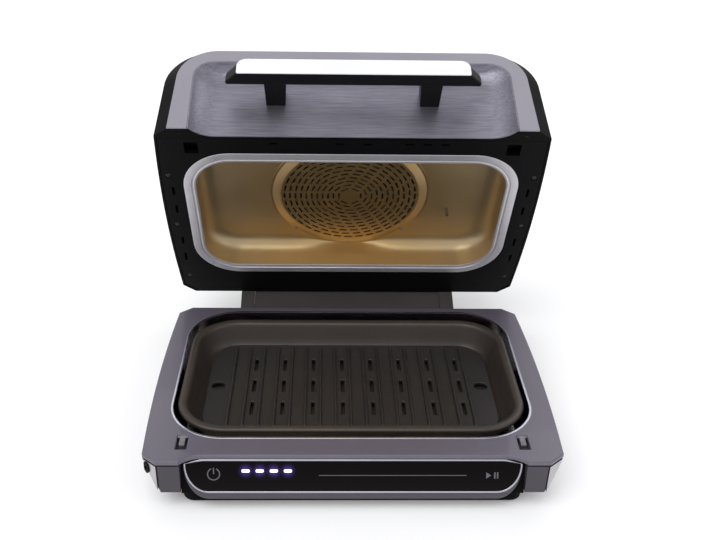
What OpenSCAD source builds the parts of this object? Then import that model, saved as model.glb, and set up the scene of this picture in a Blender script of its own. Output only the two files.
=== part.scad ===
// Electric indoor grill with a hinged, fan-assisted lid, shown with the lid open.
// Millimetres. X runs left to right, Y from the front to the back and Z up from the worktop.

/* [Body] */
// Width of the body across its corner vertices
body_w = 450; // [430:1:480]
// Depth of the body from its front edge to its back edge
body_d = 322; // [316:1:330]
// Height of the deck above the worktop
deck_h = 61.5; // [60:0.5:68]
// Thickness of the deck plate
deck_t = 5; // [4:0.5:6]
// Width of the corner chamfers across the front
corner_x = 16; // [10:1:20]
// Depth of the corner chamfers along the sides
corner_y = 14; // [10:1:18]
// Outward bow of the sides at their middle
side_bow = 4.5; // [2:0.5:6]
// Shadow gap between the deck and the lower housing
shadow_gap = 2; // [1:0.5:3]
// Wall of the moulded housings
wall = 2.5; // [2:0.25:3]
// Height of the lower housing's underside above the worktop
housing_z = 20; // [18:0.5:20]
// How far the lower housing tucks in at each side
side_tuck = 15.5; // [12:0.5:16]
// Thickness of the metal side panels
skin_t = 1.8; // [1.2:0.1:2]

/* [Plinth and feet] */
// Inset of the plinth from the deck's side vertices
plinth_inset_x = 40; // [36:1:44]
// Inset of the plinth from the deck's front and back edges
plinth_inset_y = 7; // [5:1:10]
// Height of the rubber feet
foot_h = 3; // [2.5:0.5:4]
// Radius of the rubber feet
foot_r = 12; // [9:0.5:14]
// Distance of the feet from the plinth's sides
foot_in_x = 30; // [20:1:45]
// Distance of the feet from the plinth's front and back
foot_in_y = 20; // [14:1:34]

/* [Front recess and control panel] */
// Depth of the shallow recess in the front of the deck
recess = 11; // [8:0.5:13]
// Distance of the recess's creases from the body's sides
crease_in = 40; // [35:1:50]
// Width of the curved run at each end of the recess
recess_run = 24; // [18:1:30]
// Distance of the control panel's widest points from the creases
panel_in = 4; // [3:0.5:10]
// How far each end of the control panel's top edge lies inside its widest point
panel_top_in = 18; // [15:0.5:26]
// Width of each rounded lower corner of the control panel
panel_foot_in = 27; // [20:0.5:36]
// Drop of the control panel from its top edge to its widest point
panel_shoulder = 5; // [4:0.5:7]
// Height of the control panel, measured up its slope
panel_h = 37.5; // [34:0.5:39]
// Slope of the control panel away from upright
panel_tilt = 20; // [16:1:23]
// Width of the bright line round the control panel
panel_trim_w = 2; // [1.5:0.25:3]
// Width of the moulded bezel outside the bright line
bezel_w = 7; // [3:0.5:7]
// Thickness of the bezel
bezel_t = 5; // [4:0.25:5.5]
// Thickness of the control panel's glass
glass_t = 2; // [1.5:0.25:2.5]
// Length of each light bar on the panel
led_l = 8.5; // [6:0.5:10]
// Height of each light bar on the panel
led_h = 3.4; // [2:0.25:4]
// Distance from one light bar to the next
led_pitch = 15; // [13:0.5:18]
// Distance of the middle of the light bars from the control panel's left end
led_in = 88.5; // [80:0.5:96]
// Diameter of the power mark
power_d = 14; // [12:0.5:16]
// Distance of the power mark from the control panel's left end
power_in = 32; // [28:0.5:40]

/* [Opening, pot and grill plate] */
// Width of deck at each side of the opening
opening_side = 20; // [19:0.5:22]
// Corner radius of the deck's opening
opening_r = 63; // [56:1:66]
// Width of deck in front of the opening
opening_front = 40; // [38:0.5:42]
// Width of deck behind the opening
opening_back = 12; // [10:0.5:20]
// Thickness of the bright ring round the opening
trim_t = 1.2; // [1:0.1:1.6]
// How far the pot well draws in towards its floor
well_draw = 12; // [10:0.5:14]
// Thickness of the pot well's sheet
sheet_t = 1; // [0.8:0.1:1.2]
// Gap between the opening and the pot's rim at each side
pot_gap_x = 5; // [4.5:0.5:7]
// Gap between the opening and the pot's rim at the front and back
pot_gap_y = 16; // [12:0.5:18]
// Width of the pot's rolled rim
pot_rim_w = 9; // [7:0.5:11]
// Height of the pot's rolled rim
pot_rim_h = 6; // [5:0.5:8]
// How far the pot's walls draw in towards its floor
pot_draw = 12; // [10:0.5:14]
// Thickness of the pot's wall
pot_wall = 2; // [1.5:0.25:2.5]
// Gap between the grill plate and the pot's wall
plate_gap = 3; // [2:0.5:5]
// Thickness of the grill plate
plate_t = 4; // [3:0.5:5]
// Height of the grill plate's ridges
ridge_h = 3.5; // [2:0.5:4]
// Width of the grill plate's ridges
ridge_w = 3.5; // [2.5:0.25:5]
// Distance from one ridge to the next
ridge_pitch = 18; // [15:1:24]
// Height of the grill plate's feet
plate_foot_h = 4; // [3:0.5:5]

/* [Lid] */
// Depth of the lid from its front edge to its back edge
lid_d = 318; // [308:1:318]
// Height of the lid from its rim to its top
lid_h = 141; // [138:1:150]
// Height of the lid's front face
face_h = 128; // [124:0.5:131]
// Corner radius at the top of the lid's front face
face_r = 48; // [42:1:54]
// Gap between the deck and the lid's rim when the lid is shut
rim_gap = 1.2; // [1:0.1:2]
// Width of the silver border at the top of the front face
border_top = 20; // [16:0.5:22]
// Thickness of the silver border
border_t = 2.5; // [2:0.25:3]
// Thickness of the steel sheet in the front face
steel_t = 1.2; // [0.8:0.1:1.5]
// Depth of the shallow recess in the front face
dish_depth = 14; // [11:0.5:15]
// Width of the curved run at each side of that recess
dish_run = 30; // [24:1:34]
// Thickness of the black rim frame
rim_t = 6; // [5:0.5:7]
// Width of rim in front of the cavity ring
ring_front = 42; // [40:0.5:43]
// Width of rim at each side of the cavity ring
ring_side = 24; // [23:0.5:26]
// Depth of the cavity ring, front to back
ring_d = 230; // [226:1:234]
// Corner radius of the cavity ring
ring_r = 59; // [52:1:62]
// Width of the cavity ring's band
ring_band = 15; // [13:0.5:16]
// How far the ring stands in over the cavity's walls
ring_lip = 4; // [2:0.5:5]
// Depth of the cooking cavity above the rim
cavity_h = 41; // [39:1:46]
// How far the cavity's walls draw in towards its ceiling
cavity_draw = 1.5; // [1:0.5:3]

/* [Heater and fan] */
// Gap between the heater guard and the cavity's front and back walls
guard_gap = 0.5; // [0.5:0.5:4]
// Depth of the heater guard's dish
guard_dish = 5; // [4:0.5:7]
// Thickness of the heater guard
guard_t = 1.2; // [1:0.1:1.6]
// Number of slotted rings in the heater guard
guard_rings = 12; // [8:1:13]
// Radius of the heating tube
tube_r = 3.4; // [3:0.1:4]
// Radius of the outer turn of the heating tube
coil_r = 78; // [70:1:82]
// Radius of the hot-air impeller
impeller_r = 64; // [56:1:70]
// Height of the hot-air impeller's blades
blade_h = 16; // [12:1:18]
// Number of blades on the hot-air impeller
blade_count = 12; // [8:1:16]
// Radius of the motor's shaft
shaft_r = 3; // [2.5:0.1:4]
// Radius of the motor
motor_r = 27; // [22:1:32]
// Height of the motor
motor_h = 26; // [22:1:28]

/* [Handle] */
// Length of the handle bar
bar_l = 290; // [270:1:300]
// Height of the handle bar, measured up the front face
bar_h = 23; // [20:0.5:26]
// Thickness of the handle bar
bar_t = 16.5; // [13:0.5:20]
// Length of the bevel at each end of the handle bar
bar_bevel = 13; // [8:0.5:16]
// Radius of the handle bar's upper corners
bar_round = 13; // [8:1:16]
// Gap for the fingers between the handle bar and the steel sheet
grip_gap = 32.5; // [28:0.5:36]
// Height of the handle bar's lower edge above the lid's rim
bar_v = 49.5; // [42:0.5:54]
// Distance between the handle's posts
post_span = 178; // [150:1:200]
// Width of the handle's posts where they meet the steel sheet
post_w = 22; // [18:0.5:26]
// Thickness of the bright cap on the handle bar
cap_t = 2; // [1.5:0.25:3]

/* [Hinge] */
// Distance of the hinge axis behind the deck's back edge
hinge_back = 20.5; // [20:0.5:23]
// Distance of the hinge axis below the deck
hinge_drop = 30; // [29:0.5:32]
// Radius of the hinge barrel
barrel_r = 17; // [14:0.5:17]
// Width of body outside the hinge's knuckles at each side
hinge_in = 79; // [75:0.5:85]
// Length of the body's knuckle at each end of the hinge
knuckle_l = 18; // [16:1:24]
// Radius of the hinge pins
pin_r = 4; // [3:0.25:5]
// Clearance round the hinge pins in the lid's barrel
pin_clear = 0.05; // [0.02:0.01:0.1]
// Angle through which the lid opens
open_angle = 64; // [60:1:66]

/* [Hidden] */
$fn = 48;

e = 0.01;
fit = 0.3;
screw_r = 1.6;
head_r = 3.4;
head_t = 2;
half_w = body_w / 2;
half_d = body_d / 2;
front_hw = half_w - corner_x;
crease_hw = half_w - crease_in;
bow_steps = 10;
arc_steps = 8;

// Heights in the body
deck_z = deck_h - deck_t;
housing_top = deck_z - shadow_gap;
housing_floor = housing_z + wall;
well_z = housing_floor + 1;
well_knee_z = deck_h - 19;
pad_h = 1.5;
pot_z = well_z + sheet_t + pad_h + fit;
plate_z = pot_z + pot_wall + plate_foot_h + fit;
opening_d = body_d - opening_front - opening_back;
opening_y = -half_d + opening_front + opening_d / 2;
plinth_hw = half_w - plinth_inset_x;
plinth_hd = half_d - plinth_inset_y;

// Pot and plate outlines
opening_hw = half_w - opening_side;
pot_hw = opening_hw - pot_gap_x;
pot_hd = opening_d / 2 - pot_gap_y;
pot_r = opening_r - pot_gap_x;
pot_top = deck_h - 1;
mouth_hw = pot_hw - pot_rim_w;
mouth_hd = pot_hd - pot_rim_w;
mouth_r = pot_r - pot_rim_w;
plate_in = pot_draw + pot_wall + plate_gap;
plate_hw = mouth_hw - plate_in;
plate_hd = mouth_hd - plate_in;
plate_r = mouth_r - plate_in + plate_gap;

// Latch slots and their sprung tongues
latch_x = half_w - 40;
latch_y = -half_d + 33;
latch_w = 12;
latch_l = 24;
tongue_w = 6;
tongue_l = 16;
tongue_t = 2.5;
pivot_y = latch_y + latch_l / 2 - 2;
pivot_z = deck_h - tongue_t / 2;

// Fixings of the body
boss_x = front_hw - 10;
boss_y = half_d - 15;
cover_screw_x = plinth_hw - 11;
cover_screw_y = plinth_hd - 11;
gland_x = 55 - half_w;
gland_z = 38;
gland_r = 7;

// Control panel: the middle of its top edge, and depths behind its face
panel_y = -half_d + recess;
panel_z = deck_z - 0.4;
pocket = glass_t + 0.2;
backing_t = 2;
board_t = 1.6;
panel_hw = crease_hw - panel_in;
led_x = led_in - panel_hw;
led_v = -13;
power_x = power_in - panel_hw;
mark_v = -18;
mark_t = 0.4;

// Lid heights with the lid shut
lid_hd = lid_d / 2;
side_lean = 3.4;
bulge = 2;
rim_z = deck_h + rim_gap;
rim_top = rim_z + rim_t;
ceiling_z = rim_z + cavity_h;
shroud_h = 32;
shroud_top = ceiling_z + sheet_t + shroud_h;
motor_z = shroud_top + sheet_t;
inner_front = -lid_hd + dish_depth + steel_t + fit + wall;
ring_hw = half_w - ring_side;
ring_hd = ring_d / 2;
cavity_in = ring_band - ring_lip;
guard_r = ring_hd - cavity_in - cavity_draw - 1 - guard_gap;
shroud_r = guard_r - 5;
ring_t = 1.6;
ring_y = -lid_hd + ring_front + ring_hd;
rim_fit = fit + 0.5;
face_top = face_h - border_top;
rim_screw_at = [[front_hw - 13, -lid_hd + 11], [half_w - 8, -78], [half_w - 8, 13], [half_w - 12, 122]];
vent_hw = 60;
vent_z = rim_z + 60;
vent_h = 30;
motor_ear = motor_r + 6;

// Handle, measured outwards from the front face
post_x = post_span / 2;
bar_w = grip_gap - dish_depth;
post_hw = post_w / 2;

// Hinge axis, and the origin's place in the body
hinge_y = half_d + hinge_back;
hinge_z = deck_h - hinge_drop;
barrel_hl = half_w - hinge_in;
lid_barrel_hl = barrel_hl - knuckle_l - 0.5;
plate_y = half_d + 0.6;
arm_t = 5;
function opened_y(y, z) =
    hinge_y + (y - hinge_y) * cos(open_angle) + (z - hinge_z) * sin(open_angle);
back_y = opened_y(lid_hd - corner_y, rim_z + lid_h);
front_y = panel_y - (panel_h + bezel_w) * sin(panel_tilt);
origin_y = -(back_y + front_y) / 2;

// ---------- Outlines and placing ----------

// Points along a bowed side, from front to back
function bowed_side(hw, hd, bow) =
    [for (k = [0:bow_steps]) let (t = 2 * k / bow_steps - 1) [hw + bow * (1 - t * t), hd * t]];

// Plan outline of the body or the lid: bowed sides, chamfered corners
function body_outline(hw, fhw, hd, cy) = let (side = bowed_side(hw, hd - cy, side_bow)) concat(
    [[-fhw, -hd], [fhw, -hd]], side,
    [[fhw, hd], [-fhw, hd]], [for (k = [bow_steps:-1:0]) [-side[k][0], side[k][1]]]);

// Curved run from the floor of a recess out to its crease: [half-width, height above the floor]
function run_arc(hw, run, depth) = let (r = (run * run + depth * depth) / (2 * depth), a1 = asin(run / r))
    [for (k = [0:arc_steps]) let (a = a1 * k / arc_steps) [hw - run + r * sin(a), r * (1 - cos(a))]];

// Half the width of the lid's inner wall at y, a little into the wall
function lid_side(y) = half_w - 1.5 + side_bow * (1 - pow(y / (lid_hd - corner_y), 2));

// Upright section of the lid: straight sides and rounded top corners
function lid_section(hw, top_hw, low, h, r) = let (c = [for (k = [0:arc_steps]) 90 * k / arc_steps])
    concat(
        [[-hw, low], [hw, low]],
        [for (a = c) [top_hw - r + r * cos(a), h - r + r * sin(a)]],
        [for (a = c) [-top_hw + r - r * sin(a), h - r + r * cos(a)]]);

// Outline of the control panel: straight top and foot, rounded lower corners
function panel_edge(top_hw, hw, top, foot) =
    let (fx = panel_hw - panel_foot_in, a = hw - fx, b = foot - panel_shoulder)
    let (right = [for (k = [0:arc_steps]) let (t = 90 * k / arc_steps)
        [fx + a * cos(t), -panel_shoulder - b * sin(t)]])
    concat([[-top_hw, -top], [top_hw, -top]], right,
        [for (k = [arc_steps:-1:0]) [-right[k][0], right[k][1]]]);

module panel_shape(side, foot, top = 0)
    polygon(panel_edge(panel_hw - panel_top_in + side, panel_hw + side, top, panel_h + foot));

module rounded(hw, hd, r) {
    square([2 * (hw - r), 2 * hd], center = true);
    square([2 * hw, 2 * (hd - r)], center = true);
    for (x = [-1, 1], y = [-1, 1]) translate([x * (hw - r), y * (hd - r)]) circle(r);
}

module slab(z, t = e) translate([0, 0, z]) linear_extrude(t) children();

module level(z, hw, hd, r) slab(z) rounded(hw, hd, r, $fn = 32);

module mirrored(dx) for (s = [-1, 1]) translate([s * dx, 0, 0]) children();

module at_corners(x, y) for (sx = [-1, 1], sy = [-1, 1]) translate([sx * x, sy * y, 0]) children();

module block(x, y, z) translate([x[0], y[0], z[0]]) cube([x[1] - x[0], y[1] - y[0], z[1] - z[0]]);

// Extrudes a shape drawn in Y and Z along X
module across(x, length) translate([x, 0, 0]) rotate([90, 0, 90]) linear_extrude(length) children();

module both_ends(x, length) {
    across(x, length) children();
    across(-x - length, length) children();
}

// Shallow recess in the front edge, as a shape to cut away
module front_dish() {
    right = run_arc(crease_hw, recess_run, recess);
    translate([0, -half_d + recess]) polygon(concat(
        [for (p = right) [p[0], -p[1]]], [[half_w, -recess - 9], [-half_w, -recess - 9]],
        [for (k = [arc_steps:-1:0]) [-right[k][0], -right[k][1]]]));
}

module plan() difference() {
    polygon(body_outline(half_w, front_hw, half_d, corner_y));
    front_dish();
}

module opening(grow) translate([0, opening_y])
    rounded(opening_hw + grow, opening_d / 2 + grow, opening_r + grow);

module ring_plan(grow) translate([0, ring_y]) rounded(ring_hw + grow, ring_hd + grow, ring_r + grow);

// Puts a body piece in the part's own frame
module on_body() translate([0, origin_y, 0]) children();

// Puts a lid piece, drawn with the lid shut, in the part's own frame with the lid open
module on_lid() on_body() translate([0, hinge_y, hinge_z]) rotate([-open_angle, 0, 0])
    translate([0, -hinge_y, -hinge_z]) children();

// Local frame of the control panel: x across, y up its slope, z outwards
module on_panel() translate([0, panel_y, panel_z]) rotate([90 - panel_tilt, 0, 0]) children();

// Local frame of the lid's front face: x across, y up the face, z outwards
module on_face() translate([0, -lid_hd, rim_z]) rotate([90, 0, 0]) children();

// Cross-headed screw pointing up, its head below the origin
module screw(length) {
    cylinder(h = length, r = screw_r);
    translate([0, 0, -head_t]) difference() {
        cylinder(h = head_t, r = head_r);
        for (a = [0, 90]) rotate([0, 0, a])
            translate([-head_r * 0.6, -0.4, -e]) cube([head_r * 1.2, 0.8, head_t / 2]);
    }
}

// ---------- Body ----------

module latch_slot(grow = 0) translate([-latch_w / 2 - grow, -latch_l / 2 - grow])
    square([latch_w + 2 * grow, latch_l + 2 * grow]);

module deck() color("#6e6870") on_body() {
    slab(deck_z, deck_t) difference() {
        plan();
        opening(0);
        mirrored(latch_x) translate([0, latch_y]) latch_slot();
    }
    latch_wells();
    at_corners(boss_x, boss_y) slab(housing_floor, deck_z - housing_floor + e) difference() {
        circle(4.5);
        circle(screw_r + 0.1);
    }
}

// Closed trays under the deck's two latch slots, with a ledge below each tongue's root
module latch_wells() mirrored(latch_x) translate([0, latch_y, 0]) {
    slab(deck_z - 6, 6 + e) difference() {
        latch_slot(1.2);
        latch_slot();
    }
    slab(deck_z - 7.2, 1.2 + e) latch_slot(1.2);
    block([-latch_w / 2, latch_w / 2], [latch_l / 2 - 2.5, latch_l / 2],
        [deck_z - 6, deck_h - tongue_t - fit]);
}

// Sprung finger in a latch slot, level with the deck, with its pivot stubs
module latch_tongue(side) color("#7d7780") on_body() translate([side * latch_x, pivot_y, pivot_z]) {
    translate([-tongue_w / 2, -tongue_l + 1.7, -tongue_t / 2]) cube([tongue_w, tongue_l, tongue_t]);
    rotate([0, 90, 0]) cylinder(h = latch_w - 2 * fit, r = tongue_t / 2 - e, center = true);
}
module tongue_left() latch_tongue(-1);
module tongue_right() latch_tongue(1);

module opening_trim() color("#d8d4cf") on_body() {
    slab(deck_h, 0.6) difference() {
        opening(1.4);
        opening(-fit - trim_t);
    }
    slab(deck_h - 12, 12 + e) difference() {
        opening(-fit);
        opening(-fit - trim_t);
    }
}

module well_form(grow, floor_z, top_z) translate([0, opening_y, 0]) hull() for (
    p = [[top_z, grow], [well_knee_z, grow], [floor_z, grow - well_draw]])
    level(p[0], opening_hw + p[1], opening_d / 2 + p[1], opening_r + p[1]);

module pot_well() color("#b9b6b0") on_body() {
    difference() {
        union() {
            well_form(sheet_t, well_z, deck_z - 2 * e);
            slab(deck_z - sheet_t - e, sheet_t) opening(2);
        }
        well_form(0, well_z + sheet_t, deck_z + e);
    }
    translate([0, opening_y, 0]) at_corners(mouth_hw - 50, mouth_hd - 40)
        translate([0, 0, well_z + sheet_t]) cylinder(h = pad_h, r = 8);
}

// Outer form of the body below the deck, tucked in at the sides
module housing_form(side, end, floor_z, top_z) hull() for (z = [floor_z, top_z])
    let (lean = (housing_top - z) / (housing_top - housing_z)) slab(z)
        polygon(body_outline(half_w - side_tuck * lean - side, front_hw - 1.2 * lean - side,
            half_d - end, corner_y));

module lower_housing() color("#565058") on_body() difference() {
    union() {
        difference() {
            housing_form(skin_t + fit, 0.4, housing_z, housing_top);
            housing_form(skin_t + fit + wall, 0.4 + wall, housing_floor, housing_top + 1);
        }
        mirrored(crease_hw + 0.5) block([-2, 2], [1 - half_d, 19 - half_d], [housing_z + 1, housing_top]);
    }
    front_cut();
    slab(housing_z - 1, 10) square([2 * (plinth_hw - 22), 2 * (plinth_hd - 22)], center = true);
    at_corners(boss_x, boss_y) cylinder(h = housing_top, r = screw_r + 0.2);
    at_corners(cover_screw_x, cover_screw_y) cylinder(h = housing_top, r = screw_r + 0.2);
    gland_place() cylinder(h = 20, r = gland_r + 0.1, center = true);
    port_place() slab(-12, 20) port_shape(fit);
}

// Room for the control panel and its backing plate in the front of the housing
module front_cut() on_panel() block([-crease_hw + 0.5, crease_hw - 0.5], [-60, 12],
    [-bezel_t - backing_t - fit, 40]);

// Metal skin over one side of the body
module side_panel(side) color("#c9c6c2") on_body() difference() {
    intersection() {
        housing_form(0, 0, housing_z, housing_top);
        translate([side * half_w, 0, 0]) block([-corner_x - 1.2, corner_x], [-half_d, half_d],
            [housing_z, housing_top]);
    }
    housing_form(skin_t, -1, housing_z - 0.5, housing_top + 1);
    port_place() slab(-12, 20) port_shape(fit);
}
module side_panel_left() side_panel(-1);
module side_panel_right() side_panel(1);

// Middle of the oval port in the left front chamfer, z outwards
module port_place() translate([-half_w + 5.2, -half_d + 10.2, deck_h - 15])
    rotate([0, 0, -46]) rotate([90, 0, 0]) children();

module port_shape(grow) {
    square([2 * (4 + grow), 5], center = true);
    for (y = [-3, 3]) translate([0, y]) circle(4 + grow);
}

module probe_port() color("#1b1b1e") on_body() port_place() difference() {
    slab(-6, 7.5) port_shape(0);
    translate([0, 0, -3]) cylinder(h = 6, r = 2);
}

module panel_bezel() color("#4d4850") on_body() on_panel() difference() {
    slab(-bezel_t, bezel_t) panel_shape(1, bezel_w);
    slab(-pocket, bezel_t) panel_shape(0.1, 0.1, -1);
    slab(-bezel_t - 1, bezel_t) panel_shape(-14, -6, 6);
}

module panel_backing() color("#1c1b1e") on_body() on_panel()
    slab(-bezel_t - backing_t, backing_t)
        translate([-crease_hw + 1, -panel_h - 2]) square([2 * crease_hw - 2, panel_h + 1.5]);

module panel_trim() color("#d9d7d2") on_body() on_panel() slab(-pocket, pocket + 0.6) difference() {
    panel_shape(0, 0);
    panel_shape(-panel_trim_w, -panel_trim_w, panel_trim_w);
}

module control_glass() color("#121114") on_body() on_panel() slab(-pocket, glass_t)
    panel_shape(-panel_trim_w - 0.1, -panel_trim_w - 0.1, panel_trim_w + 0.1);

module on_glass() on_body() on_panel() translate([0, 0, glass_t - pocket]) children();

module light_bars() color("#e9dcff") on_glass() for (k = [-1.5:1.5])
    translate([led_x + k * led_pitch - led_l / 2, led_v - led_h / 2, 0]) cube([led_l, led_h, mark_t]);

// Power mark, a thin line and a play-and-pause mark
module panel_marks() color("#a5a1a8") on_glass() linear_extrude(mark_t) {
    translate([power_x, mark_v + 1.5]) {
        difference() {
            circle(power_d / 2);
            circle(power_d / 2 - 1.2);
            translate([-2, 1]) square([4, power_d]);
        }
        translate([-0.6, 0]) square([1.2, power_d / 2]);
    }
    translate([144 - panel_hw, mark_v - 0.4]) square([2 * panel_hw - 204, 0.8]);
    translate([-power_x, mark_v]) {
        polygon([[-7, -3.5], [-7, 3.5], [-1.5, 0]]);
        for (x = [1.5, 4.5]) translate([x, -3.5]) square([1.6, 7]);
    }
}

module control_board() color("#2f6b3c") on_body() on_panel() {
    slab(-bezel_t, board_t) translate([43 - panel_hw, -panel_h + 9])
        square([2 * panel_hw - 86, panel_h - 18]);
    for (k = [-1.5:1.5]) translate([led_x + k * led_pitch - 2, led_v - 1.5, board_t - bezel_t - e])
        cube([4, 3, 0.8]);
}

// Moulded plinth that closes the body from below
module bottom_cover() color("#29282b") on_body() difference() {
    slab(foot_h, housing_z - foot_h) rounded(plinth_hw, plinth_hd, 14);
    difference() {
        slab(foot_h + wall, housing_z) rounded(plinth_hw - wall, plinth_hd - wall, 14 - wall);
        at_corners(cover_screw_x, cover_screw_y) cylinder(h = housing_z, r = 5.5);
    }
    for (x = [-6:6]) translate([x * 14 - 2, -60, 0]) cube([4, 34, foot_h + wall + 1]);
    at_corners(cover_screw_x, cover_screw_y) {
        cylinder(h = housing_z + 1, r = screw_r + 0.2);
        cylinder(h = housing_z - 4, r = head_r + 0.3);
    }
}

module feet() color("#232324") on_body() at_corners(plinth_hw - foot_in_x, plinth_hd - foot_in_y)
    rotate_extrude()
    polygon([[0, 0], [foot_r - 1, 0], [foot_r, 1], [foot_r, foot_h], [0, foot_h]]);

module body_screws() color("#8e8e92") on_body() at_corners(boss_x, boss_y)
    translate([0, 0, housing_z]) screw(12);

module cover_screws() color("#8e8e92") on_body() at_corners(cover_screw_x, cover_screw_y)
    translate([0, 0, housing_z - 4]) screw(9);

module gland_place() translate([gland_x, half_d, gland_z]) rotate([-90, 0, 0]) children();

module cord_gland() color("#1f1f21") on_body() gland_place() difference() {
    union() {
        translate([0, 0, -6]) cylinder(h = 6, r = gland_r);
        translate([0, 0, -0.4]) cylinder(h = 3, r = gland_r + 2.5);
        cylinder(h = 7, r = gland_r - 1.5);
    }
    translate([0, 0, -7]) cylinder(h = 15, r = 3.5);
}

// ---------- Hinge ----------

module hinge_circle(r) translate([hinge_y, hinge_z]) circle(r);

// Body's knuckles, each with a web to the rear wall and an arm behind the open lid
module hinge_knuckles() color("#3a383c") on_body() both_ends(barrel_hl - knuckle_l, knuckle_l)
    difference() {
        union() {
            hinge_circle(barrel_r);
            translate([half_d - 0.4, housing_z + 1]) square([hinge_back, hinge_z + barrel_r - housing_z - 1]);
            translate([hinge_y, hinge_z]) rotate(-open_angle) translate([lid_hd + fit - hinge_y, 0])
                square([arm_t + 3, rim_top + 6 - hinge_z]);
        }
        hinge_circle(pin_r);
    }

module hinge_pins() color("#a8a8ab") on_body() {
    both_ends(barrel_hl - knuckle_l - 20, knuckle_l + 20) hinge_circle(pin_r);
    both_ends(barrel_hl, 2) hinge_circle(pin_r + 2.5);
}

// Lid's barrel, with the plate that carries it on the lid's back wall
module hinge_barrel() color("#333236") on_lid() difference() {
    across(-lid_barrel_hl, 2 * lid_barrel_hl) {
        hinge_circle(barrel_r);
        translate([plate_y, hinge_z]) square([arm_t, rim_top + 20 - hinge_z]);
        translate([lid_hd, rim_z + 2]) square([plate_y - lid_hd + e, rim_t + 18]);
    }
    both_ends(lid_barrel_hl - 20.5, 21) hinge_circle(pin_r + pin_clear);
}

// ---------- Pot and grill plate ----------

module pot_form(grow, floor_z, top_z, foot_in) translate([0, opening_y, 0]) hull() for (
    p = [[top_z, 0], [floor_z + 10, 0.6 * pot_draw], [floor_z, foot_in]])
    level(p[0], mouth_hw + grow - p[1], mouth_hd + grow - p[1], mouth_r + grow - p[1]);

module cooking_pot() color("#2d2a29") on_body() difference() {
    union() {
        pot_form(0, pot_z, pot_top - e, pot_draw + 3);
        slab(pot_top - pot_rim_h, pot_rim_h) translate([0, opening_y]) rounded(pot_hw, pot_hd, pot_r);
    }
    pot_form(-pot_wall, pot_z + pot_wall, pot_top + e, pot_draw + 1);
}

module plate_cut(x, y, w, l) translate([x - w / 2, y - l / 2]) square([w, l]);

// Ribbed plate on four feet, with drain slots between the ribs and a lift hole at each end
module grill_plate() color("#26292c") on_body() translate([0, opening_y, plate_z]) {
    linear_extrude(plate_t) difference() {
        rounded(plate_hw, plate_hd, plate_r);
        for (k = [-7:2:7]) for (y = [-46, 0, 46]) plate_cut(k * ridge_pitch + ridge_pitch / 2, y, 4, 26);
        mirrored(plate_hw - 13) circle(8);
    }
    for (k = [-8:8]) translate([k * ridge_pitch, plate_hd - 9, plate_t - e]) rotate([90, 0, 0])
        linear_extrude(2 * plate_hd - 18) polygon([[-ridge_w / 2, 0], [ridge_w / 2, 0],
            [ridge_w / 4, ridge_h], [-ridge_w / 4, ridge_h]]);
    at_corners(plate_hw - 34, plate_hd - 22) translate([0, 0, -plate_foot_h])
        cylinder(h = plate_foot_h + e, r = 5);
}

// ---------- Lid shell and front face ----------

module upright(y, t = e) translate([0, y + t, rim_z]) rotate([90, 0, 0]) linear_extrude(t) children();

// Solid form of the lid from y = front to its back, inset all round
module lid_form(inset, front, low) hull() {
    for (k = [0:0.25:1]) let (t = 1 - pow(2 * k - 1, 2), hw = half_w + side_bow * t - inset)
        upright(front + (lid_hd - corner_y - front) * k)
            polygon(lid_section(hw, hw - side_lean, low, lid_h + bulge * t - inset, face_r + 12));
    for (y = inset == 0 ? [-lid_hd + border_t, lid_hd - e] : [lid_hd - inset]) upright(y)
        polygon(lid_section(front_hw - inset, front_hw - side_lean - inset, low, face_h - inset, face_r));
}

// Shallow recess in the lid's front face, open at the rim, as a solid to cut away
module dish(grow) {
    arc = run_arc(crease_hw, dish_run, dish_depth);
    levels = concat([for (k = [0:2:arc_steps]) [dish_depth - arc[k][1] + grow, arc[k][0]]],
        [[-8 - grow, crease_hw]]);
    hull() for (p = levels) upright(p[0] - lid_hd)
        polygon(lid_section(p[1] + grow, p[1] + grow, -2 - grow,
            face_top - (crease_hw - p[1]) / 3 + grow, 25));
}

module rim_screw_holes(z, h, r) for (p = rim_screw_at) mirrored(p[0])
    translate([0, p[1], z]) cylinder(h = h, r = r);

module post_holes() mirrored(post_x) on_face() translate([0, bar_v + bar_h / 2, -dish_depth - 20])
    cylinder(h = 40, r = screw_r + 0.3);

module lid_shell() color("#3b393e") on_lid() difference() {
    union() {
        difference() {
            lid_form(0, -lid_hd + corner_y, 0);
            lid_form(wall, inner_front, -1);
        }
        for (k = [1:3], s = [-1, 1]) let (p = rim_screw_at[k]) translate([s * p[0], p[1], rim_top]) {
            cylinder(h = 12, r = 4.5);
            block(s > 0 ? [0, lid_side(p[1]) - p[0]] : [p[0] - lid_side(p[1]), 0], [-2, 2], [0, 12]);
        }
    }
    dish(steel_t + fit);
    rim_screw_holes(rim_z - 1, 13 + rim_t, screw_r + 0.1);
    mirrored(rim_screw_at[0][0]) translate([0, rim_screw_at[0][1], rim_z - 1])
        cylinder(h = 1 + head_t, r = head_r + 0.3);
    block([-vent_hw, vent_hw], [lid_hd - 6, lid_hd + 1], [vent_z, vent_z + vent_h]);
    post_holes();
}

module face_border() color("#9c98a2") on_lid() difference() {
    upright(-lid_hd, border_t - fit)
        polygon(lid_section(front_hw, front_hw - side_lean, 0, face_h, face_r));
    dish(steel_t + fit);
}

// Steel sheet that lines the recess
module steel_panel() color("#84818a") on_lid() intersection() {
    difference() {
        dish(steel_t);
        dish(0);
        post_holes();
    }
    block([-half_w, half_w], [-lid_hd + 0.1, 0], [rim_z + 0.5, rim_z + lid_h]);
}

// ---------- Lid rim and cavity ----------

module latch_pocket(grow) translate([-8 - grow, -lid_hd + 24 - grow])
    square([16 + 2 * grow, 18 + 2 * grow]);

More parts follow.
